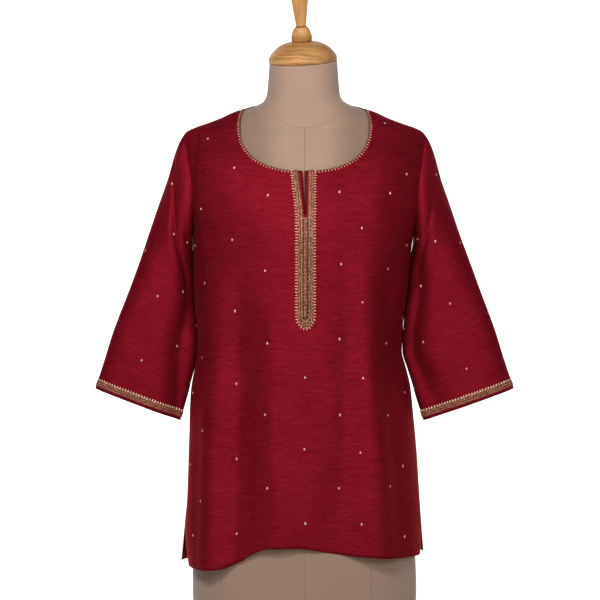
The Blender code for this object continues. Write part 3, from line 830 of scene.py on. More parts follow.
def sleeve(side, angle, along):
    """The sleeve's inner face: angle 0 is its outer edge, a quarter its front; along ends at the cuff."""
    angle, along = np.broadcast_arrays(np.asarray(angle, float), np.asarray(along, float))
    point, normal = sleeve_loft(side, angle, along)
    start, leave, _ = armhole_start(side, angle)
    joint = np.full_like(along, CAP_END)
    end, _ = sleeve_loft(side, angle, joint)
    ahead, _ = sleeve_loft(side, angle, joint + 0.01)
    reach = np.linalg.norm(end - start, axis=-1, keepdims=True)
    speed = (ahead - end) / 0.01 * CAP_END
    t = np.clip(along / CAP_END, 0, 1)[..., None]
    cap = (1 + 2 * t) * (1 - t) ** 2 * start + t * (1 - t) ** 2 * reach * leave
    cap += t * t * (3 - 2 * t) * end + t * t * (t - 1) * speed
    whole = np.where(along[..., None] < CAP_END, cap, point)
    return whole + sleeve_relief(angle, along, side)[..., None] * normal


def ring_angles():
    return np.linspace(0, 2 * math.pi, 2 * ARMHOLE_STEPS + 1)


def sleeve_rows(side, along, lift=0.0):
    """Rings of points; along has one value a ring, or one for each of its points."""
    angle = np.broadcast_to(ring_angles(), along.shape)
    return lifted(lambda a, b: sleeve(side, a, b), angle, along, lift, side)


def on_front(across, height, lift):
    """Points above the front's inner face."""
    side = np.where(across < 0, LEFT, RIGHT)
    left = LEFT * quarter_of(LEFT, across, height)
    right = quarter_of(RIGHT, across, height)
    return lifted(cloth, np.where(side == LEFT, left, right), height, lift, 1)


class Socket:
    """A node's output. Python's operators on it add Math nodes."""

    def __init__(self, tree, output):
        self.tree, self.output = tree, output

    def math(self, operation, *values):
        return self.tree.add("ShaderNodeMath", enumerate(values), operation=operation)[0]

    def __add__(self, other):
        return self.math("ADD", self, other)

    def __radd__(self, other):
        return self.math("ADD", other, self)

    def __sub__(self, other):
        return self.math("SUBTRACT", self, other)

    def __rsub__(self, other):
        return self.math("SUBTRACT", other, self)

    def __mul__(self, other):
        return self.math("MULTIPLY", self, other)

    def __rmul__(self, other):
        return self.math("MULTIPLY", other, self)

    def __truediv__(self, other):
        return self.math("DIVIDE", self, other)

    def __abs__(self):
        return self.math("ABSOLUTE", self)

    def __mod__(self, other):
        return self.math("FLOORED_MODULO", self, other)


class Tree:
    """A node tree that is filled by method calls."""

    def __init__(self, nodes):
        self.nodes = nodes

    def add(self, kind, inputs=(), **settings):
        """A node with its settings, then its inputs' values or links; gives its outputs."""
        node = self.nodes.nodes.new(kind)
        for name, value in settings.items():
            setattr(node, name, value)
        for key, value in dict(inputs).items():
            self.feed(node.inputs[key], value)
        return [Socket(self, output) for output in node.outputs]

    def feed(self, entry, value):
        if isinstance(value, Socket):
            self.nodes.links.new(value.output, entry)
        else:
            entry.default_value = value


class Finish(Tree):
    """A material; constants are set on its shader's own sockets."""

    def __init__(self, name, constants):
        self.material = bpy.data.materials.new(name)
        self.material.use_nodes = True
        super().__init__(self.material.node_tree)
        self.shader = self.nodes.nodes["Principled BSDF"]
        for socket, value in constants.items():
            self.shader.inputs[socket].default_value = value

    def shade(self, **values):
        for name, value in values.items():
            self.feed(self.shader.inputs[name.replace("_", " ")], value)
        return self.material

    def split(self, vector):
        return self.add("ShaderNodeSeparateXYZ", {0: vector})

    def weave(self):
        """Across and up the flat cloth, in millimetres."""
        across, up, _ = self.split(self.add("ShaderNodeUVMap", uv_map="weave")[0])
        return across / MM, up / MM

    def place(self):
        """The point's own place, in millimetres."""
        return [axis / MM for axis in self.split(self.add("ShaderNodeTexCoord")[3])]

    def noise(self, x, y, z=0.0, detail=2.0, rough=0.5):
        """Noise from 0 to 1 at this place; its features are about 1 across."""
        place = self.add("ShaderNodeCombineXYZ", {0: x, 1: y, 2: z})[0]
        inputs = {"Vector": place, "Scale": 1.0, "Detail": detail, "Roughness": rough}
        return self.add("ShaderNodeTexNoise", inputs)[0]

    def ease(self, value, low, high):
        """0 up to low, 1 from high, and smooth between."""
        return self.add(
            "ShaderNodeMapRange", {0: value, 1: low, 2: high}, interpolation_type="SMOOTHSTEP"
        )[0]

    def mix(self, share, first, second):
        """From the first colour to the second."""
        colours = [c if isinstance(c, Socket) else (*c, 1.0) for c in (first, second)]
        return self.add("ShaderNodeMix", {0: share, 6: colours[0], 7: colours[1]}, data_type="RGBA")[2]

    def bump(self, height, depth_mm, strength=1.0):
        inputs = {"Height": height, "Distance": depth_mm * MM, "Strength": strength}
        return self.add("ShaderNodeBump", inputs)[0]


def ready(name, make, *details):
    """The material of that name, made the first time it is asked for."""
    return bpy.data.materials.get(name) or make(name, *details)


def raw_silk(name):
    """Slubbed raw silk: uneven weft yarns that run across, in two tones, with a soft sheen."""
    colours = bpy.context.scene.tunic_silk
    finish = Finish(
        name,
        {
            "Specular IOR Level": 0.04,
            "Specular Tint": (1.0, 0.12, 0.18, 1.0),
            "Anisotropic": 0.5,
            "Anisotropic Rotation": 0.25,
            "Sheen Weight": colours.sheen,
            "Sheen Roughness": 0.45,
            "Sheen Tint": (*colours.sheen_tint, 1.0),
        },
    )
    across, up = finish.weave()
    weft = up + finish.noise(across / 90, up / 90) * 2
    slub = finish.noise(across / 26, weft / 1.7, 3.1, detail=3)
    thick = finish.ease(finish.noise(across / 13, weft / 1.5, 9.4, detail=1), 0.62, 0.76)
    yarn = finish.noise(across / 9, weft / 0.8, 5.5)
    warp = finish.noise(across / 0.9, up / 12, 7.7)
    cloud = finish.noise(across / 60, up / 60, 1.2)
    tone = 0.5 + (slub - 0.5) * 1.3 + (yarn - 0.5) * 1.2 + (warp - 0.5) * 0.5 + (cloud - 0.5) * 0.5
    colour = finish.mix(tone, colours.dark, colours.light)
    colour = finish.mix(thick * 0.6, colour, colours.slub)
    relief = slub * 0.6 + yarn * 0.25 + warp * 0.12 + thick * 0.5
    return finish.shade(
        Base_Color=colour,
        Roughness=0.7 - slub * 0.08 - thick * 0.04,
        Metallic=0.53 + slub * 0.12,
        Normal=finish.bump(relief, 0.13, 0.55),
    )


def gold_weave(name, ground, bare):
    """A flat woven strip: zigzags of bright thread on brown, and its first edge shows the ground."""
    colours = bpy.context.scene.tunic_trim
    finish = Finish(name, {"Specular IOR Level": 0.12})
    along, across = finish.weave()
    zigzag = abs(along / 5.6 % 1.0 - 0.5) * 2
    rib = abs((across + zigzag * 2.4) / 3.7 % 1.0 - 0.5) * 2
    grain = finish.noise(along / 1.4, across / 1.4, 2.0)
    patch = finish.noise(along / 6, across / 3.5, 4.0)
    bright = finish.ease(rib + (grain - 0.5) * 1.3 + (patch - 0.5) * 1.1, 0.2, 1.0)
    glint = finish.ease(grain * 0.6 + rib * 0.4 + (patch - 0.5) * 0.5, 0.58, 0.72)
    colour = finish.mix(bright, colours.weave_dark, colours.weave)
    colour = finish.mix(glint * 0.6, colour, colours.thread)
    edge = 1 - finish.ease(across + patch * bare * 0.5, 0.4, bare)
    colour = finish.mix(edge * 0.7, colour, ground)
    return finish.shade(
        Base_Color=colour,
        Roughness=0.55 - bright * 0.15,
        Metallic=glint * 0.5,
        Normal=finish.bump(rib * 0.6 + grain * 0.6, 0.3, 0.7),
    )


def thread(name, colour, metallic):
    """Satin stitches: fine fibres with a sheen."""
    finish = Finish(name, {"Specular IOR Level": 0.15})
    x, y, z = finish.place()
    fibre = finish.noise(x * 2.2, y * 2.2, z * 2.2)
    shade = finish.noise(x / 6, y / 6, z / 6)
    tone = 0.72 + fibre * 0.3 + shade * 0.26
    dark = tuple(channel * 0.45 for channel in colour)
    return finish.shade(
        Base_Color=finish.mix(tone * 0.95, dark, colour),
        Roughness=0.5 - fibre * 0.15,
        Metallic=shade * metallic,
        Normal=finish.bump(fibre, 0.1, 0.5),
    )


def binding(name):
    """The narrow rolled edge of the neckline."""
    colours = bpy.context.scene.tunic_trim
    finish = Finish(name, {"Specular IOR Level": 0.12})
    along, across = finish.weave()
    twist = abs((along + across * 1.4) / 1.5 % 1.0 - 0.5) * 2
    grain = finish.noise(along / 0.7, across / 0.7)
    colour = finish.mix(twist * 0.35 + grain * 0.2, colours.weave_dark, colours.weave)
    return finish.shade(
        Base_Color=colour, Roughness=0.6 - grain * 0.12, Normal=finish.bump(twist + grain * 0.4, 0.15, 0.6)
    )


def jersey(name):
    """The form's stretched cover, with its sewn seams: round the neck's foot and down the body. Painted shade
    darkens it towards its sides and below the tunic's neckline.
    """
    colours = bpy.context.scene.tunic_form
    finish = Finish(name, {"Specular IOR Level": 0.25, "Sheen Weight": 0.3, "Sheen Roughness": 0.6})
    x, y, z = finish.place()
    round_form, _ = finish.weave()
    wide = x * x
    curl = (wide * NECK_SEAM_CURL + wide * wide * NECK_SEAM_TURN) * finish.ease(0 - y, -10.0, 10.0)
    base_of_neck = z - (NECK_SEAM + y * NECK_SEAM_RISE + curl)
    seams = [1 - (1 - finish.ease(abs(base_of_neck), 0.35, 0.9)) * (1 - finish.ease(abs(x), 58.0, 62.0))]
    below = finish.ease(0 - base_of_neck, -0.4, 0.4)
    for share in FORM_SEAMS:
        beside = abs(round_form - share * 1000)
        seams.append(1 - (1 - finish.ease(beside, 0.5, 1.5)) * below)
    line = seams[0]
    for seam in seams[1:]:
        line = line * seam
    knit = finish.noise(x / 0.7, y / 0.7, z / 0.5, detail=1)
    cloud = finish.noise(x / 55, y / 55, z / 55)
    colour = finish.mix(0.3 + (knit - 0.5) * 0.5 + cloud * 0.5, colours.cover_dark, colours.cover)
    # Painted shade: the cover darkens towards its sides from the chest up, and all over below the tunic's
    # neckline, where the cloth, the slit and the hem shade it. The seam colour stands in for the shade.
    painted_shade = finish.ease(abs(x), 22.0, 82.0) * finish.ease(z, 400.0, 700.0) * 0.75
    painted_shade = painted_shade + (1 - finish.ease(z, 688.0, 710.0)) * 0.55
    colour = finish.mix(painted_shade, colour, colours.seam)
    colour = finish.mix(0.45 - line * 0.45, colour, colours.seam)
    return finish.shade(
        Base_Color=colour,
        Roughness=0.86 - knit * 0.1,
        Normal=finish.bump(line + knit * 0.12, 0.35, 0.4),
    )


def turned_wood(name):
    """Varnished turned wood: growth bands that cross the turning, fine pores and darker grooves, with painted
    shade on the cap's right side, and the cap darker towards its top.
    """
    colours = bpy.context.scene.tunic_form
    finish = Finish(name, {"Coat Weight": 0.12, "Coat Roughness": 0.2, "Specular IOR Level": 0.25})
    x, y, z = finish.place()
    _, rise = finish.weave()
    on_knob = finish.ease(z, CAP_TOP + 4, CAP_TOP + 10)
    sideways = x * 0.8 + y * 0.5 + z * 0.04
    warped = (z + x * 0.05) * (1 - on_knob) + sideways * on_knob + finish.noise(x / 26, y / 26, z / 26) * 7
    band = finish.noise(x / 60, y / 60, warped / 2.6, detail=3)
    pore = finish.noise(x / 5, y / 5, z / 0.5, 2)
    broad = finish.noise(x / 40, y / 40, warped / 14)
    tone = finish.ease(band * 0.75 + broad * 0.5 + on_knob * 0.12, 0.42, 0.85)
    colour = finish.mix(tone, colours.wood_dark, colours.wood)
    colour = finish.mix(finish.ease(pore, 0.62, 0.8) * 0.35, colour, colours.wood_dark)
    # Painted shade: the cap darkens towards its right side, away from the light. It also darkens towards its
    # top.
    painted_side_shade_dark_top = finish.ease(z, CAP_TOP - 30, CAP_TOP) * (1 - on_knob) * 0.6 + finish.ease(x, 15.0, 50.0) * 0.8
    colour = finish.mix(painted_side_shade_dark_top, colour, colours.wood_dark)
    groove = (1 - finish.ease(abs(rise - KNOB_GROOVE), 0.5, 1.6)) * on_knob
    colour = finish.mix(groove * 0.8, colour, colours.wood_groove)
    return finish.shade(
        Base_Color=colour,
        Roughness=0.42 + pore * 0.15,
        Normal=finish.bump(band * 0.4 - finish.ease(pore, 0.6, 0.8) * 0.4, 0.12, 0.5),
    )


def add_grid(bm, rows, weave=None, flip=False):
    """Quads between rows of points; they face along (next point) x (next row), or back if flipped."""
    layer = bm.loops.layers.uv.get("weave") or bm.loops.layers.uv.new("weave")
    verts = [[bm.verts.new(point) for point in row] for row in rows]
    for r in range(len(verts) - 1):
        for i in range(len(verts[r]) - 1):
            places = [(r, i), (r, i + 1), (r + 1, i + 1), (r + 1, i)]
            if flip:
                places.reverse()
            face = bm.faces.new([verts[a][b] for a, b in places])
            if weave is not None:
                for loop, (a, b) in zip(face.loops, places):
                    loop[layer].uv = weave[a][b]
    return verts


def finished(name, bm, material, join=0.01):
    """A smooth-shaded object of its own, from a bmesh in millimetres."""
    bmesh.ops.remove_doubles(bm, verts=bm.verts, dist=join)
    bmesh.ops.scale(bm, vec=Vector((MM, MM, MM)), verts=bm.verts)
    mesh = bpy.data.meshes.new(name)
    bm.to_mesh(mesh)
    bm.free()
    mesh.shade_smooth()
    mesh.materials.append(material)
    made = bpy.data.objects.new(name, mesh)
    bpy.context.scene.collection.objects.link(made)
    return made


def thicken(made, thickness):
    wall = made.modifiers.new("Wall", "SOLIDIFY")
    wall.thickness = thickness * MM
    wall.offset = 1
    wall.use_even_offset = False
    return made


def settle(made, nodes):
    """The finished piece stands for its nodes and moves with the body."""
    if nodes:
        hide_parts(*nodes)
    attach(made, BODY)
    return made


def stitch_tree(name, on_path):
    """Satin stitches on a path or on loose points; each stands on "out" and points along "away"."""
    group = bpy.data.node_groups.new(name, "GeometryNodeTree")
    sizes = ("Spacing", "Length", "Width", "Thickness", "Lean")
    group.interface.new_socket("Places", in_out="INPUT", socket_type="NodeSocketGeometry")
    for size in sizes:
        group.interface.new_socket(size, in_out="INPUT", socket_type="NodeSocketFloat")
    group.interface.new_socket("Thread", in_out="INPUT", socket_type="NodeSocketMaterial")
    group.interface.new_socket("Stitches", in_out="OUTPUT", socket_type="NodeSocketGeometry")
    tree = Tree(group)
    places, spacing, length, width, thickness, lean, material, _ = tree.add("NodeGroupInput")
    if on_path:
        path = tree.add("GeometryNodeMeshToCurve", {0: places})[0]
        places = tree.add("GeometryNodeResampleCurve", {"Curve": path, "Length": spacing}, mode="LENGTH")[0]
    ball = tree.add("GeometryNodeMeshUVSphere", {"Segments": 8, "Rings": 5, "Radius": 0.5})[0]
    size = tree.add("ShaderNodeCombineXYZ", {0: length, 1: width, 2: thickness})[0]
    stitch = tree.add("GeometryNodeTransform", {"Geometry": ball, "Scale": size})[0]
    out, away = (
        tree.add("GeometryNodeInputNamedAttribute", {"Name": attribute}, data_type="FLOAT_VECTOR")[0]
        for attribute in ("out", "away")
    )
    stand = tree.add("FunctionNodeAlignRotationToVector", {"Vector": out}, axis="Z")[0]
    turn = tree.add(
        "FunctionNodeAlignRotationToVector", {"Rotation": stand, "Vector": away}, axis="X", pivot_axis="Z"
    )[0]
    swing = tree.add("FunctionNodeRandomValue", {2: lean * -1.0, 3: lean, "Seed": 4}, data_type="FLOAT")[1]
    tilt = tree.add("ShaderNodeCombineXYZ", {2: swing})[0]
    turned = tree.add(
        "FunctionNodeRotateRotation",
        {"Rotation": turn, "Rotate By": tree.add("FunctionNodeEulerToRotation", {0: tilt})[0]},
        rotation_space="LOCAL",
    )[0]
    growth = tree.add("FunctionNodeRandomValue", {2: 0.88, 3: 1.12, "Seed": 9}, data_type="FLOAT")[1]
    placed = tree.add(
        "GeometryNodeInstanceOnPoints",
        {"Points": places, "Instance": stitch, "Rotation": turned, "Scale": growth},
    )[0]
    real = tree.add("GeometryNodeRealizeInstances", {0: placed})[0]
    smooth = tree.add("GeometryNodeSetShadeSmooth", {0: real})[0]
    sewn = tree.add("GeometryNodeSetMaterial", {"Geometry": smooth, "Material": material})[0]
    tree.add("NodeGroupOutput", {0: sewn})
    return group


def sewn(name, chains, material, spacing, size, lean=0.06):
    """Stitches as one mesh. Chains are (places, out, away) in millimetres; spacing 0 means one a place."""
    points, outs, aways, edges = [], [], [], []
    for places, out, away in chains:
        first = len(points)
        points += list(np.asarray(places) * MM)
        outs += list(out)
        aways += list(away)
        edges += [(first + i, first + i + 1) for i in range(len(places) - 1)] if spacing else []
    mesh = bpy.data.meshes.new(name + "_path")
    mesh.from_pydata(points, edges, [])
    for attribute, values in (("out", outs), ("away", aways)):
        layer = mesh.attributes.new(attribute, "FLOAT_VECTOR", "POINT")
        layer.data.foreach_set("vector", np.array(values, np.float32).ravel())
    path = bpy.data.objects.new(name + "_path", mesh)
    bpy.context.scene.collection.objects.link(path)
    kind = "Stitches along a path" if spacing else "Stitches on points"
    group = bpy.data.node_groups.get(kind) or stitch_tree(kind, bool(spacing))
    sockets = {item.name: item.identifier for item in group.interface.items_tree}
    sewing = path.modifiers.new("Sewing", "NODES")
    sewing.node_group = group
    sizes = zip(("Spacing", "Length", "Width", "Thickness"), (spacing, *size))
    for socket, value in sizes:
        sewing[sockets[socket]] = value * MM
    sewing[sockets["Lean"]] = lean
    sewing[sockets["Thread"]] = material
    graph = bpy.context.evaluated_depsgraph_get()
    made = bpy.data.objects.new(name, bpy.data.meshes.new_from_object(path.evaluated_get(graph)))
    made.data.name = name
    bpy.data.objects.remove(path, do_unlink=True)
    if not made.data.polygons:
        raise RuntimeError(f"{name}: no stitches were made")
    bpy.context.scene.collection.objects.link(made)
    return made


def chain(line, above, beside):
    """Places on a line, with the directions out of the cloth and away from the line beside it."""
    return line, unit(above - line), unit(line - beside)


def panel_chain(face, side, rows, beside, lift):
    """A chain along rows of a panel's (quarter, height)."""
    line = cloth_rows(face, side, rows, lift)
    return chain(line, cloth_rows(face, side, rows, lift + 1), cloth_rows(face, side, beside, lift))


def make_panel(name, face):
    bm = bmesh.new()
    for side in (LEFT, RIGHT):
        for rows in half_panel(face, side):
            points = cloth_rows(face, side, rows, WALL - SHELL)
            add_grid(bm, points, panel_weave(face, side, rows), flip=side == face)
    return thicken(finished(name, bm, ready("raw_silk", raw_silk), HALVES_JOIN), SHELL)


def make_sleeve(name, side):
    """A tube from a turned-in allowance under the armhole's edge to the cuff."""
    along = np.linspace(0, 1, SLEEVE_ROWS + 1) ** 1.05
    rows = sleeve_rows(side, np.repeat(along[:, None], 2 * ARMHOLE_STEPS + 1, axis=1), WALL - SHELL)
    _, leave, normal = armhole_start(side, ring_angles())
    inside = [rows[0] - share * ALLOWANCE * leave - (SHELL + 1.2 * share) * normal for share in (1.0, 0.3)]
    rows = np.concatenate([inside, rows])
    along = np.concatenate([[-0.02, -0.01], along])
    angle = ring_angles() / (2 * math.pi)
    across = [share * SLEEVE_GIRTH * MM + (2 + side) * 0.5 for share in angle]
    weave = np.array([[(x, (1 - level) * SLEEVE_LENGTH * MM) for x in across] for level in along])
    bm = bmesh.new()
    add_grid(bm, rows, weave, flip=side == LEFT)
    return thicken(finished(name, bm, ready("raw_silk", raw_silk)), SHELL)


def cuff_levels(side, distances):
    """Shares of the sleeve's length that lie these distances above its end, for each place round it."""
    places = 2 * ARMHOLE_STEPS + 1
    near, end = sleeve_rows(side, np.array([[0.9] * places, [1.0] * places]))
    per_mm = 0.1 / np.linalg.norm(end - near, axis=-1)
    return np.array([1 - distance * per_mm for distance in distances])


def strip_weave(rows, width):
    """Along and across a strip, in metres; rows run across it."""
    along = lengths(rows[len(rows) // 2])
    across = np.linspace(0, width, len(rows))
    return np.stack(np.broadcast_arrays(along[None, :], across[:, None]), axis=-1) * MM


def make_strip(name, rows, width, material, thickness, flip, join=0.01):
    bm = bmesh.new()
    add_grid(bm, rows, strip_weave(rows, width), flip=flip)
    return thicken(finished(name, bm, material, join), thickness)


def crown(count):
    """How far each row of a strip stands up: its edges lie down and its middle is full."""
    share = np.linspace(-1, 1, count)
    return 0.35 * (1 - share**4)


def make_cuff_band(name, side):
    count = 7
    distances = np.linspace(CUFF_HEM, CUFF_HEM + CUFF_BAND, count)
    along = cuff_levels(side, distances)
    lifts = WALL + STRIP_LIFT + crown(count)
    rows = np.array([sleeve_rows(side, level, lift) for level, lift in zip(along, lifts)])
    ground = tuple(bpy.context.scene.tunic_silk.light)
    weave = ready("woven_cuff", gold_weave, ground, 6.0)
    return make_strip(name, rows, CUFF_BAND, weave, STRIP, side == RIGHT)


def placket_half_gap(height):
    """Half the width between the placket's two bands."""
    return CENTRE_STRIP + (PLACKET_GAP_TOP - CENTRE_STRIP) * slit_share(height)


def placket_line(share, steps=90, turns=24):
    """(across, height) down the left band, round the point and up the right, share of the way out."""
    drop = np.linspace(slit_head() + 0.5, PLACKET_TURN, steps)
    gap = placket_half_gap(drop)
    turn = np.linspace(0, math.pi, turns + 1)[1:-1]
    point = np.sin(turn) ** POINT_ROUNDNESS
    out = BAND * share
    fall = PLACKET_FILLET + (PLACKET_TURN - PLACKET_POINT - PLACKET_FILLET) * share
    across = np.concatenate([-gap - out, -(CENTRE_STRIP + out) * np.cos(turn), (gap + out)[::-1]])
    height = np.concatenate([drop, PLACKET_TURN - fall * point, drop[::-1]])
    return across + centre_across(height), height


def placket_rows(shares, lifts):
    return np.array([on_front(*placket_line(share), lift) for share, lift in zip(shares, lifts)])


def edge_rows(face, side, distance):
    """(quarter, height) of the neckline's edge, and of the row that lies a distance below it."""
    edge, inside = half_panel(face, side)[1][-1:-3:-1]
    reach = np.linalg.norm(cloth_rows(face, side, inside) - cloth_rows(face, side, edge), axis=-1)
    below = edge + (inside - edge) * (distance / reach)[:, None]
    if face == FRONT:
        across = abs(cloth_rows(face, side, edge)[:, 0] - centre_across(edge[:, 1]))
        first = np.searchsorted(across, PLACKET_GAP_TOP + BAND + SEAM)
        edge, below = edge[first:], below[first:]
    return edge, below


def neck_round(distance):
    """The neckline's rows on each face and side, as (face, side, edge row, row below)."""
    halves = [(face, side) for face in (FRONT, BACK) for side in (LEFT, RIGHT)]
    return [(face, side, *edge_rows(face, side, distance)) for face, side in halves]


def make_neck_binding(name):
    """A narrow strip rolled over the neckline's edge: down its outside, and back up inside."""
    outside = ((1.7, WALL + 0.1), (0.9, WALL + 0.25), (0.1, WALL + 0.1), (-0.45, WALL - 0.4))
    profile = (*outside, (0.1, 0.4), (2.2, 0.35))
    bm = bmesh.new()
    for face, side, edge, below in neck_round(1.0):
        run = below - edge
        rows = np.array([cloth_rows(face, side, edge + run * down, lift) for down, lift in profile])
        add_grid(bm, rows, strip_weave(rows, NECK_STRIP), flip=side != face)
    made = finished(name, bm, ready("binding", binding), NECK_TRIM_JOIN)
    return thicken(made, BINDING)


def rounded(profile, steps=4):
    """More points along a turned profile, on a smooth curve through its own."""
    points = np.array(profile, float)
    padded = np.concatenate([points[:1], points, points[-1:]])
    t = np.linspace(0, 1, steps, endpoint=False)[:, None]
    pieces = []
    for a, b, c, d in zip(padded, padded[1:], padded[2:], padded[3:]):
        square, cube = 2 * a - 5 * b + 4 * c - d, 3 * b - a - 3 * c + d
        pieces.append(0.5 * (2 * b + (c - a) * t + square * t**2 + cube * t**3))
    return np.concatenate([*pieces, points[-1:]])


def close_ends(bm, verts):
    """Caps the first and last ring of a closed tube."""
    bm.faces.new([v for v in verts[0][:-1]][::-1])
    bm.faces.new([v for v in verts[-1][:-1]])


def cap_axis():
    """The direction of the cap's and knob's axis, and the turn that brings +Z there."""
    turn = Matrix.Rotation(CAP_TILT_FORWARD, 4, "X") @ Matrix.Rotation(-CAP_TILT_LEFT, 4, "Y")
    return turn @ Vector((0, 0, 1)), turn


def make_turned(name, profile, base):
    """A wooden piece turned about the cap's axis, standing base above the neck's top."""
    bm = bmesh.new()
    turn = np.linspace(0, 2 * math.pi, TURNED_SIDES + 1)
    profile = rounded(profile)
    cosine, sine = np.cos(turn), np.sin(turn)
    rows = [np.stack([r * cosine, r * sine, np.full_like(turn, h)], axis=-1) for r, h in profile]
    weave = [[(t / math.tau, h * MM) for t in turn] for _, h in profile]
    close_ends(bm, add_grid(bm, rows, weave))
    axis, tilt = cap_axis()
    foot = Vector((NECK_CENTRE, 0, NECK_PLANE)) + axis * base
    bmesh.ops.transform(bm, matrix=Matrix.Translation(foot) @ tilt, verts=bm.verts)
    return finished(name, bm, ready("varnished_wood", turned_wood), 0.001)


def form_sections():
    """The dress form's table: its body, the tunic's own shoulders a little smaller, and the neck."""
    shoulders = [
        (
            row["height"] - SHOULDER_CLEAR,
            row["left"],
            row["right"],
            row["front"] - CHEST_CLEAR * (0.38 + 0.62 * smoothstep((800 - row["height"]) / 40)),
            row["back"] - BLADE_CLEAR * (0.5 + 0.5 * smoothstep((800 - row["height"]) / 40)),
            row["squareness"],
        )
        for row in each(TUNIC)
        if SHOULDER_END < row["height"] <= NECK_SIDE
    ]
    return table("height left right front back squareness", *FORM_BODY, *shoulders, *FORM_NECK)


def make_form(name):
    rows = form_sections()
    heights = np.concatenate([np.linspace(*span) for span in FORM_RINGS])
    turn = np.linspace(-math.pi, math.pi, FORM_SIDES + 1)
    axis, _ = cap_axis()
    rings, weave = [], []
    for height in heights:
        points, _ = torso(rows, turn, np.full_like(turn, height))
        lean = -(axis.x * (points[:, 0] - NECK_CENTRE) + axis.y * points[:, 1]) / axis.z
        points[:, 2] += lean * smoothstep((height - NECK_SHEAR_FROM) / (NECK_PLANE - NECK_SHEAR_FROM))
        rings.append(points)
        weave.append([(0.5 + t / math.tau, height * MM) for t in turn])
    bm = bmesh.new()
    close_ends(bm, add_grid(bm, rings, weave))
    return finished(name, bm, ready("jersey", jersey), 0.001)


def spot_chain(face):
    """The woven spots' places on the front or the back."""
    found = []
    for spot in each(SPOT_COLUMNS):
        if spot["face"] != face:
            continue
        side = LEFT if spot["across"] < 0 else RIGHT
        for step in range(-5, 4):
            height = spot["height"] + step * SPOT_ROW + 3 * math.sin(5 * step + spot["across"])
            across = spot["across"] + 2 * math.sin(3 * step + spot["height"])
            quarter = float(quarter_of(side, across, height))
            if inside_panel(face, across, quarter, height):
                found.append((side, quarter, height))
    chains = []
    for side in (LEFT, RIGHT):
        rows = np.array([(quarter, height) for s, quarter, height in found if s == side])
        chains.append(panel_chain(face, side, rows, rows - (0, 2.0), WALL + 0.1))
    return chains


def inside_panel(face, across, quarter, height):
    """Whether a spot would lie on the panel, clear of its edges and trims."""
    if height > 800 or height < column(HEM[face], "height", across) + SPOT_CLEAR:
        return False
    if quarter > seam_quarter(face, height) - SPOT_CLEAR / 100:
        return False
    if UNDERARM < height < SHOULDER_END + SPOT_CLEAR:
        middle, half = (UNDERARM + SHOULDER_END) / 2, (SHOULDER_END - UNDERARM) / 2
        angle = math.acos(np.clip((height - middle) / half, -1, 1))
        if quarter > armhole(angle)[0] - SPOT_CLEAR / 150:
            return False
    if face == BACK:
        return height < 790
    if height > PLACKET_POINT - SPOT_CLEAR and abs(across) < PLACKET_GAP_TOP + BAND + SPOT_CLEAR:
        return False
    drop = np.clip((NECK_WIDEST + SPOT_CLEAR - height) / (NECK_DROP + 2 * SPOT_CLEAR), 0, 1)
    reach = (1 - drop**NECK_ROUNDNESS) ** (1 / NECK_ROUNDNESS) * (NECK_HALF_WIDTH + SPOT_CLEAR)
    return drop >= 1 or abs(across) > reach


def sleeve_chain(side, angle, along, lift):
    """A chain of places on a sleeve, which point up it."""

    def surface(a, b):
        return sleeve(side, a, b)

    line = lifted(surface, angle, along, lift, side)
    above = lifted(surface, angle, along, lift + 1, side)
    return chain(line, above, lifted(surface, angle, along + 0.01, lift, side))


def sleeve_spots(side):
    places = []
    for spot in each(SLEEVE_SPOTS):
        for step in range(-1, 3):
            along = spot["along"] + step * SLEEVE_SPOT_ROW + 0.02 * math.sin(spot["angle"] + side)
            if 0.12 < along < 0.93:
                places.append((math.radians(spot["angle"] + 4 * math.sin(7 * along)), along))
    angle, along = np.array(places).T
    return sleeve_chain(side, angle, along, WALL + 0.1)


def tint(name, about, default):
    """A colour setting."""
    return FloatVectorProperty(name=name, description=about, subtype="COLOR", default=default)


def measure(name, about, default):
    """A distance setting, in metres."""
    return FloatProperty(
        name=name, description=about, default=default, subtype="DISTANCE", unit="LENGTH"
    )


class SilkSettings(bpy.types.PropertyGroup):
    """Colours of the raw silk."""

    light: tint("Light yarn", "Colour of the bright weft yarns", (0.315, 0.0125, 0.028))
    dark: tint("Dark yarn", "Colour of the dull weft yarns", (0.175, 0.0035, 0.011))
    slub: tint("Slub", "Colour of the thick places in the yarn", (0.11, 0.002, 0.006))
    sheen: FloatProperty(
        name="Sheen", description="Strength of the cloth's sheen", default=0.03, min=0, max=1
    )
    sheen_tint: tint("Sheen tint", "Colour of the sheen", (1.0, 0.25, 0.3))
    spot_length: measure("Spot length", "Height of one woven spot", 0.0043)
    spot_width: measure("Spot width", "Width of one woven spot", 0.0029)
    spot: tint("Spot", "Colour of the woven spots", (0.82, 0.5, 0.4))
    sewing: tint("Sewing thread", "Colour of the sewing thread", (0.16, 0.006, 0.012))


class TrimSettings(bpy.types.PropertyGroup):
    """Colours and sizes of the woven trims and their toothed edges."""

    weave: tint("Weave", "Bright thread of the strips", (0.46, 0.17, 0.1))
    weave_dark: tint("Weave ground", "Dull ground of the strips", (0.09, 0.022, 0.012))
    thread: tint("Tooth thread", "Pale thread of the toothed edges", (0.85, 0.43, 0.3))
    edge: tint("Edge line", "Plain line along the bands' inner edges", (0.42, 0.13, 0.1))
    line: tint("Dark line", "Dark stitches beside the placket's centre", (0.022, 0.003, 0.004))
    tooth_spacing: measure("Tooth spacing", "From tooth to tooth on the placket", 0.0045)
    cuff: tint("Cuff teeth", "Colour of the bright teeth above the cuff bands", (1.0, 0.8, 0.62))
    tooth_length: measure("Tooth length", "Length of a placket tooth", 0.0054)
    neck_spacing: measure("Neck tooth spacing", "From tooth to tooth round the neck", 0.0049)


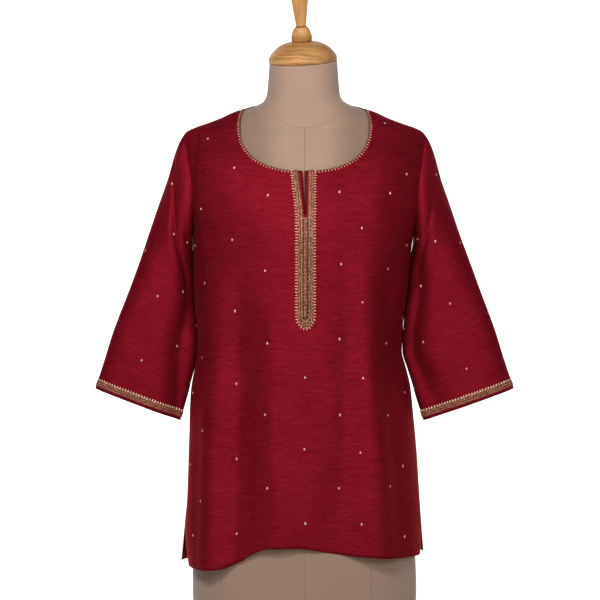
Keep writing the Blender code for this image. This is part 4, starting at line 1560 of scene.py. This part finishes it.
class FormSettings(bpy.types.PropertyGroup):
    """Colours of the dress form and its turned wood."""

    cover: tint("Cover", "Colour of the form's jersey", (0.5, 0.33, 0.24))
    cover_dark: tint("Cover shade", "Colour between the jersey's stitches", (0.38, 0.245, 0.175))
    # The seam colour also serves as the painted shade on the cover.
    seam: tint("Seam", "Colour in the form's seams", (0.24, 0.15, 0.105))
    wood: tint("Wood", "Light bands of the wood", (0.74, 0.39, 0.135))
    # The dark wood colour also serves as the painted shade on the cap's right side.
    wood_dark: tint("Wood grain", "Dark bands of the wood", (0.4, 0.18, 0.05))
    wood_groove: tint("Groove", "Varnish gathered in the turned groove", (0.12, 0.045, 0.015))


class StageSettings(bpy.types.PropertyGroup):
    """Floor colour and camera."""

    floor: tint("Floor", "Colour of the floor and backdrop", (0.72, 0.72, 0.72))
    distance: measure("Camera distance", "From the camera to the middle of the form", 3.2)
    view_width: measure("View width", "Width that the camera sees at the form", 0.93)
    camera_height: measure("Camera height", "Height of the camera above the floor", 0.5115)
    camera_across: measure("Camera across", "How far the camera is to the right", -0.007)


def spot_thread(name):
    return thread(name, tuple(bpy.context.scene.tunic_silk.spot), 0.15)


def tooth_thread(name):
    return thread(name, tuple(bpy.context.scene.tunic_trim.thread), 0.2)


def cuff_thread(name):
    return thread(name, tuple(bpy.context.scene.tunic_trim.cuff), 0.3)


def line_thread(name):
    return thread(name, tuple(bpy.context.scene.tunic_trim.line), 0.0)


def sewing_thread(name):
    return thread(name, tuple(bpy.context.scene.tunic_silk.sewing), 0.0)


def spot_size():
    silk = bpy.context.scene.tunic_silk
    return silk.spot_length / MM, silk.spot_width / MM, SPOT_THICKNESS


class TUNIC_OT_body(bpy.types.Operator):
    """Makes the front and the back of the tunic with their woven spots."""

    bl_idname = "tunic.body"
    bl_label = "Front and back"

    def execute(self, context):
        for name, face in (("front", FRONT), ("back", BACK)):
            made = settle(make_panel(name + "_silk", face), [name])
            yarn = ready("spot_thread", spot_thread)
            spots = sewn(name + "_spots", spot_chain(face), yarn, 0, spot_size(), 0.35)
            settle(spots, [])
        return {"FINISHED"}


class TUNIC_OT_sleeves(bpy.types.Operator):
    """Makes the two sleeves with their woven spots."""

    bl_idname = "tunic.sleeves"
    bl_label = "Sleeves"

    def execute(self, context):
        for side, word in SIDE_NAMES.items():
            made = settle(make_sleeve("sleeve_silk_" + word, side), ["sleeve_" + word])
            yarn = ready("spot_thread", spot_thread)
            spots = sewn("sleeve_spots_" + word, [sleeve_spots(side)], yarn, 0, spot_size(), 0.4)
            settle(spots, [])
        return {"FINISHED"}


class TUNIC_OT_neck_trim(bpy.types.Operator):
    """Makes the rolled edge of the neckline and the row of teeth below it."""

    bl_idname = "tunic.neck_trim"
    bl_label = "Neck trim"

    def execute(self, context):
        trim = context.scene.tunic_trim
        made = settle(make_neck_binding("neck_binding"), ["neck_trim"])
        chains = [
            panel_chain(face, side, below, edge, WALL + 0.2)
            for face, side, edge, below in neck_round(NECK_TOOTH_DROP)
        ]
        pale = ready("tooth_thread", tooth_thread)
        teeth = sewn("neck_teeth", chains, pale, trim.neck_spacing / MM, NECK_TOOTH)
        settle(teeth, [])
        return {"FINISHED"}


class TUNIC_OT_placket(bpy.types.Operator):
    """Makes the placket: its two bands with teeth, the strip between them and the dark lines."""

    bl_idname = "tunic.placket"
    bl_label = "Placket"

    def execute(self, context):
        trim = context.scene.tunic_trim
        shares = np.linspace(0, 1, 7)
        weave = ready("woven_gold", gold_weave, tuple(trim.edge), 1.25)
        rows = placket_rows(shares, WALL + STRIP_LIFT + crown(7))
        bands = make_strip("placket_bands", rows, BAND, weave, STRIP, True)
        settle(bands, ["placket_border"])
        inner, edge, above = placket_rows((0.8, 1.08, 1.08), (WALL + 0.5, WALL + 0.5, WALL + 1.5))
        size = (trim.tooth_length / MM, 1.9, 1.0)
        pale = ready("tooth_thread", tooth_thread)
        spacing = trim.tooth_spacing / MM
        teeth = sewn("placket_teeth", [chain(edge, above, inner)], pale, spacing, size)
        settle(teeth, [])

        share = np.linspace(-1, 1, 9)[:, None]
        foot = PLACKET_TURN + 0.4 - (PLACKET_FILLET - 0.2) * (1 - share**2) ** 0.6
        height = slit_foot() - 2 + (foot - slit_foot() + 2) * np.linspace(0, 1, 60)
        across = share * (CENTRE_STRIP - SEAM) + centre_across(height)
        rows = on_front(across, height, WALL + STRIP_LIFT + crown(9)[:, None, None])
        centre = make_strip("placket_filling", rows, 2 * CENTRE_STRIP, weave, STRIP, False)
        settle(centre, ["placket_centre"])
        drop = np.linspace(slit_foot() - 2, PLACKET_TURN + 1, 60)
        hook = np.radians(np.arange(15, 151, 15))
        beside = CENTRE_STRIP - 0.1
        down = np.concatenate([drop, PLACKET_TURN + 1 - 3.4 * np.sin(hook)])
        right = np.concatenate([np.full_like(drop, beside), beside * np.cos(hook)]) + centre_across(down)
        left = centre_across(drop) - beside
        bar = np.linspace(-1, 1, 20) * (CENTRE_STRIP + 5.2)
        level = np.full_like(bar, slit_foot() - 2.4)
        lines = []
        for line, at, step in ((right, down, 0), (left, drop, 0), (bar + centre_across(level), level, 1)):
            low, high = on_front(line, at, WALL + 0.85), on_front(line, at, WALL + 1.85)
            ahead = low + np.array([-1.0, 0, 0]) if step else on_front(line, at - 1, WALL + 0.85)
            lines.append(chain(low, high, ahead))
        ink = ready("line_thread", line_thread)
        dark = sewn("placket_lines", lines[:1], ink, 2.6, (3.4, 1.3, 1.0), 0.02)
        faint = sewn("placket_fine_lines", lines[1:2], ink, 3.4, (2.4, 0.7, 0.9), 0.02)
        across_bar = sewn("placket_bar", lines[2:], pale, 2.2, (2.6, 0.9, 0.9), 0.02)
        for made in (dark, faint, across_bar):
            settle(made, [])
        return {"FINISHED"}


class TUNIC_OT_cuffs(bpy.types.Operator):
    """Makes the woven band and its teeth round each sleeve's end."""

    bl_idname = "tunic.cuffs"
    bl_label = "Cuff bands"

    def execute(self, context):
        for side, word in SIDE_NAMES.items():
            made = settle(make_cuff_band("cuff_band_" + word, side), ["cuff_trim_" + word])
            (along,) = cuff_levels(side, [CUFF_HEM + CUFF_BAND + 0.6])
            chains = [sleeve_chain(side, ring_angles(), along, WALL + 0.5)]
            bright = ready("cuff_thread", cuff_thread)
            teeth = sewn("cuff_teeth_" + word, chains, bright, CUFF_TOOTH_SPACING, CUFF_TOOTH)
            settle(teeth, [])
        return {"FINISHED"}


class TUNIC_OT_sewing(bpy.types.Operator):
    """Sews the hems: a row of small stitches above each bottom edge and beside each slit."""

    bl_idname = "tunic.sewing"
    bl_label = "Hem stitches"

    def execute(self, context):
        chains = []
        for face in (FRONT, BACK):
            for side in (LEFT, RIGHT):
                share = column_shares(side)
                level = hem_height(face, side, share) + 17
                rows = np.stack([share * seam_quarter(face, level), level], axis=-1)
                chains.append(panel_chain(face, side, rows[1:-1], rows[:-2], WALL + 0.02))
                level = np.linspace(float(hem_height(face, side, np.array([0.97]))[0]) + 4, SLIT_TOP + 14, 50)
                rows = np.stack([seam_quarter(face, level) - 0.1, level], axis=-1)
                chains.append(panel_chain(face, side, rows, rows - (0, 1.0), WALL + 0.02))
        yarn = ready("sewing_thread", sewing_thread)
        made = sewn("hem_stitches", chains, yarn, HEM_STITCH_SPACING, HEM_STITCH, 0.03)
        settle(made, [])
        return {"FINISHED"}


class TUNIC_OT_form(bpy.types.Operator):
    """Makes the covered dress form."""

    bl_idname = "tunic.form"
    bl_label = "Dress form"

    def execute(self, context):
        settle(make_form("form_cover"), ["dress_form"])
        return {"FINISHED"}


class TUNIC_OT_wood(bpy.types.Operator):
    """Makes the turned wooden cap and knob."""

    bl_idname = "tunic.wood"
    bl_label = "Cap and knob"

    def execute(self, context):
        settle(make_turned("cap_wood", CAP_PROFILE, SEAM), ["neck_cap"])
        settle(make_turned("knob_wood", KNOB_PROFILE, CAP_HEIGHT + 2 * SEAM), ["neck_knob"])
        return {"FINISHED"}


def add_light(name, place, aim, power, size, colour=(1, 1, 1)):
    light = bpy.data.lights.new(name, "AREA")
    light.energy, light.size, light.color = power, size, colour
    made = bpy.data.objects.new(name, light)
    made.location = place
    made.rotation_euler = (Vector(aim) - Vector(place)).to_track_quat("-Z", "Y").to_euler()
    bpy.context.scene.collection.objects.link(made)


def backdrop(settings):
    """One pale sheet: a floor that sweeps up behind the form, glowing with painted light that fades towards
    the front.
    """
    finish = Finish(
        "backdrop",
        {
            "Roughness": 0.9,
            "Specular IOR Level": 0.1,
            "Emission Strength": 0.85,
        },
    )
    x, y, z = finish.place()
    grain = finish.noise(x / 40, y / 40, z / 40)
    pale = tuple(settings.floor)
    # Painted light: the sheet glows white behind the form. The glow fades out under the form and in front of
    # it, so the floor there is darker: a painted shade.
    far = finish.ease(y, 60.0, 260.0)
    finish.shade(
        Base_Color=finish.mix(grain, tuple(0.985 * c for c in pale), pale),
        Emission_Color=finish.mix(far, (0.05, 0.05, 0.05), (1.0, 1.0, 1.0)),
    )
    bend = np.linspace(0, math.pi / 2, 24)
    depth = np.concatenate([[-7.0], 6.0 + 2.0 * np.sin(bend), [8.0]])
    height = np.concatenate([[0.0], 2.0 - 2.0 * np.cos(bend), [8.0]])
    rows = [[(x, d, h) for x in np.linspace(-8, 8, 17)] for d, h in zip(depth, height)]
    bm = bmesh.new()
    add_grid(bm, np.array(rows) / MM)
    made = finished("backdrop", bm, finish.material)


class TUNIC_OT_stage(bpy.types.Operator):
    """Sets up the pale floor, the soft lights and the camera."""

    bl_idname = "tunic.stage"
    bl_label = "Stage"

    def execute(self, context):
        settings = context.scene.tunic_stage
        backdrop(settings)
        middle = (0, 0, settings.camera_height)
        add_light("key", (-0.7, -2.3, 2.25), middle, 50, 0.7)
        add_light("fill", (0.85, -2.7, 1.5), middle, 26, 0.8)
        add_light("backdrop_left", (-2.6, 2.6, 2.8), (0, 6.5, 1.0), 110, 2.0)
        add_light("backdrop_right", (2.6, 2.6, 2.8), (0, 6.5, 1.0), 110, 2.0)
        world = bpy.data.worlds.new("studio")
        world.use_nodes = True
        world.node_tree.nodes["Background"].inputs["Color"].default_value = (1, 1, 1, 1)
        world.node_tree.nodes["Background"].inputs["Strength"].default_value = 0.05
        context.scene.world = world
        camera = bpy.data.cameras.new("camera")
        camera.lens = camera.sensor_width * settings.distance / settings.view_width
        made = bpy.data.objects.new("camera", camera)
        made.location = (settings.camera_across, -settings.distance, settings.camera_height)
        made.rotation_euler = (math.pi / 2, 0, 0)
        context.scene.collection.objects.link(made)
        context.scene.camera = made
        context.scene.view_settings.view_transform = "Standard"
        return {"FINISHED"}


OPERATORS = (
    TUNIC_OT_body,
    TUNIC_OT_sleeves,
    TUNIC_OT_neck_trim,
    TUNIC_OT_placket,
    TUNIC_OT_cuffs,
    TUNIC_OT_sewing,
    TUNIC_OT_form,
    TUNIC_OT_wood,
    TUNIC_OT_stage,
)
SETTINGS = {
    "tunic_silk": SilkSettings,
    "tunic_trim": TrimSettings,
    "tunic_form": FormSettings,
    "tunic_stage": StageSettings,
}


class TUNIC_PT_panel(bpy.types.Panel):
    """Lists the pieces and their settings."""

    bl_idname = "TUNIC_PT_panel"
    bl_label = "Tunic"
    bl_space_type = "VIEW_3D"
    bl_region_type = "UI"
    bl_category = "Tunic"

    def draw(self, context):
        for operator in OPERATORS:
            self.layout.operator(operator.bl_idname)
        for name, group in SETTINGS.items():
            box = self.layout.box()
            for setting in group.__annotations__:
                box.prop(getattr(context.scene, name), setting)


def register():
    for made in (*SETTINGS.values(), *OPERATORS, TUNIC_PT_panel):
        bpy.utils.register_class(made)
    for name, group in SETTINGS.items():
        setattr(bpy.types.Scene, name, PointerProperty(type=group))


def unregister():
    for name in SETTINGS:
        delattr(bpy.types.Scene, name)
    for made in (TUNIC_PT_panel, *OPERATORS[::-1], *SETTINGS.values()):
        bpy.utils.unregister_class(made)


def main():
    register()
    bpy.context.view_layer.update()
    for operator in OPERATORS:
        group, name = operator.bl_idname.split(".")
        getattr(getattr(bpy.ops, group), name)()


if __name__ == "__main__":
    main()
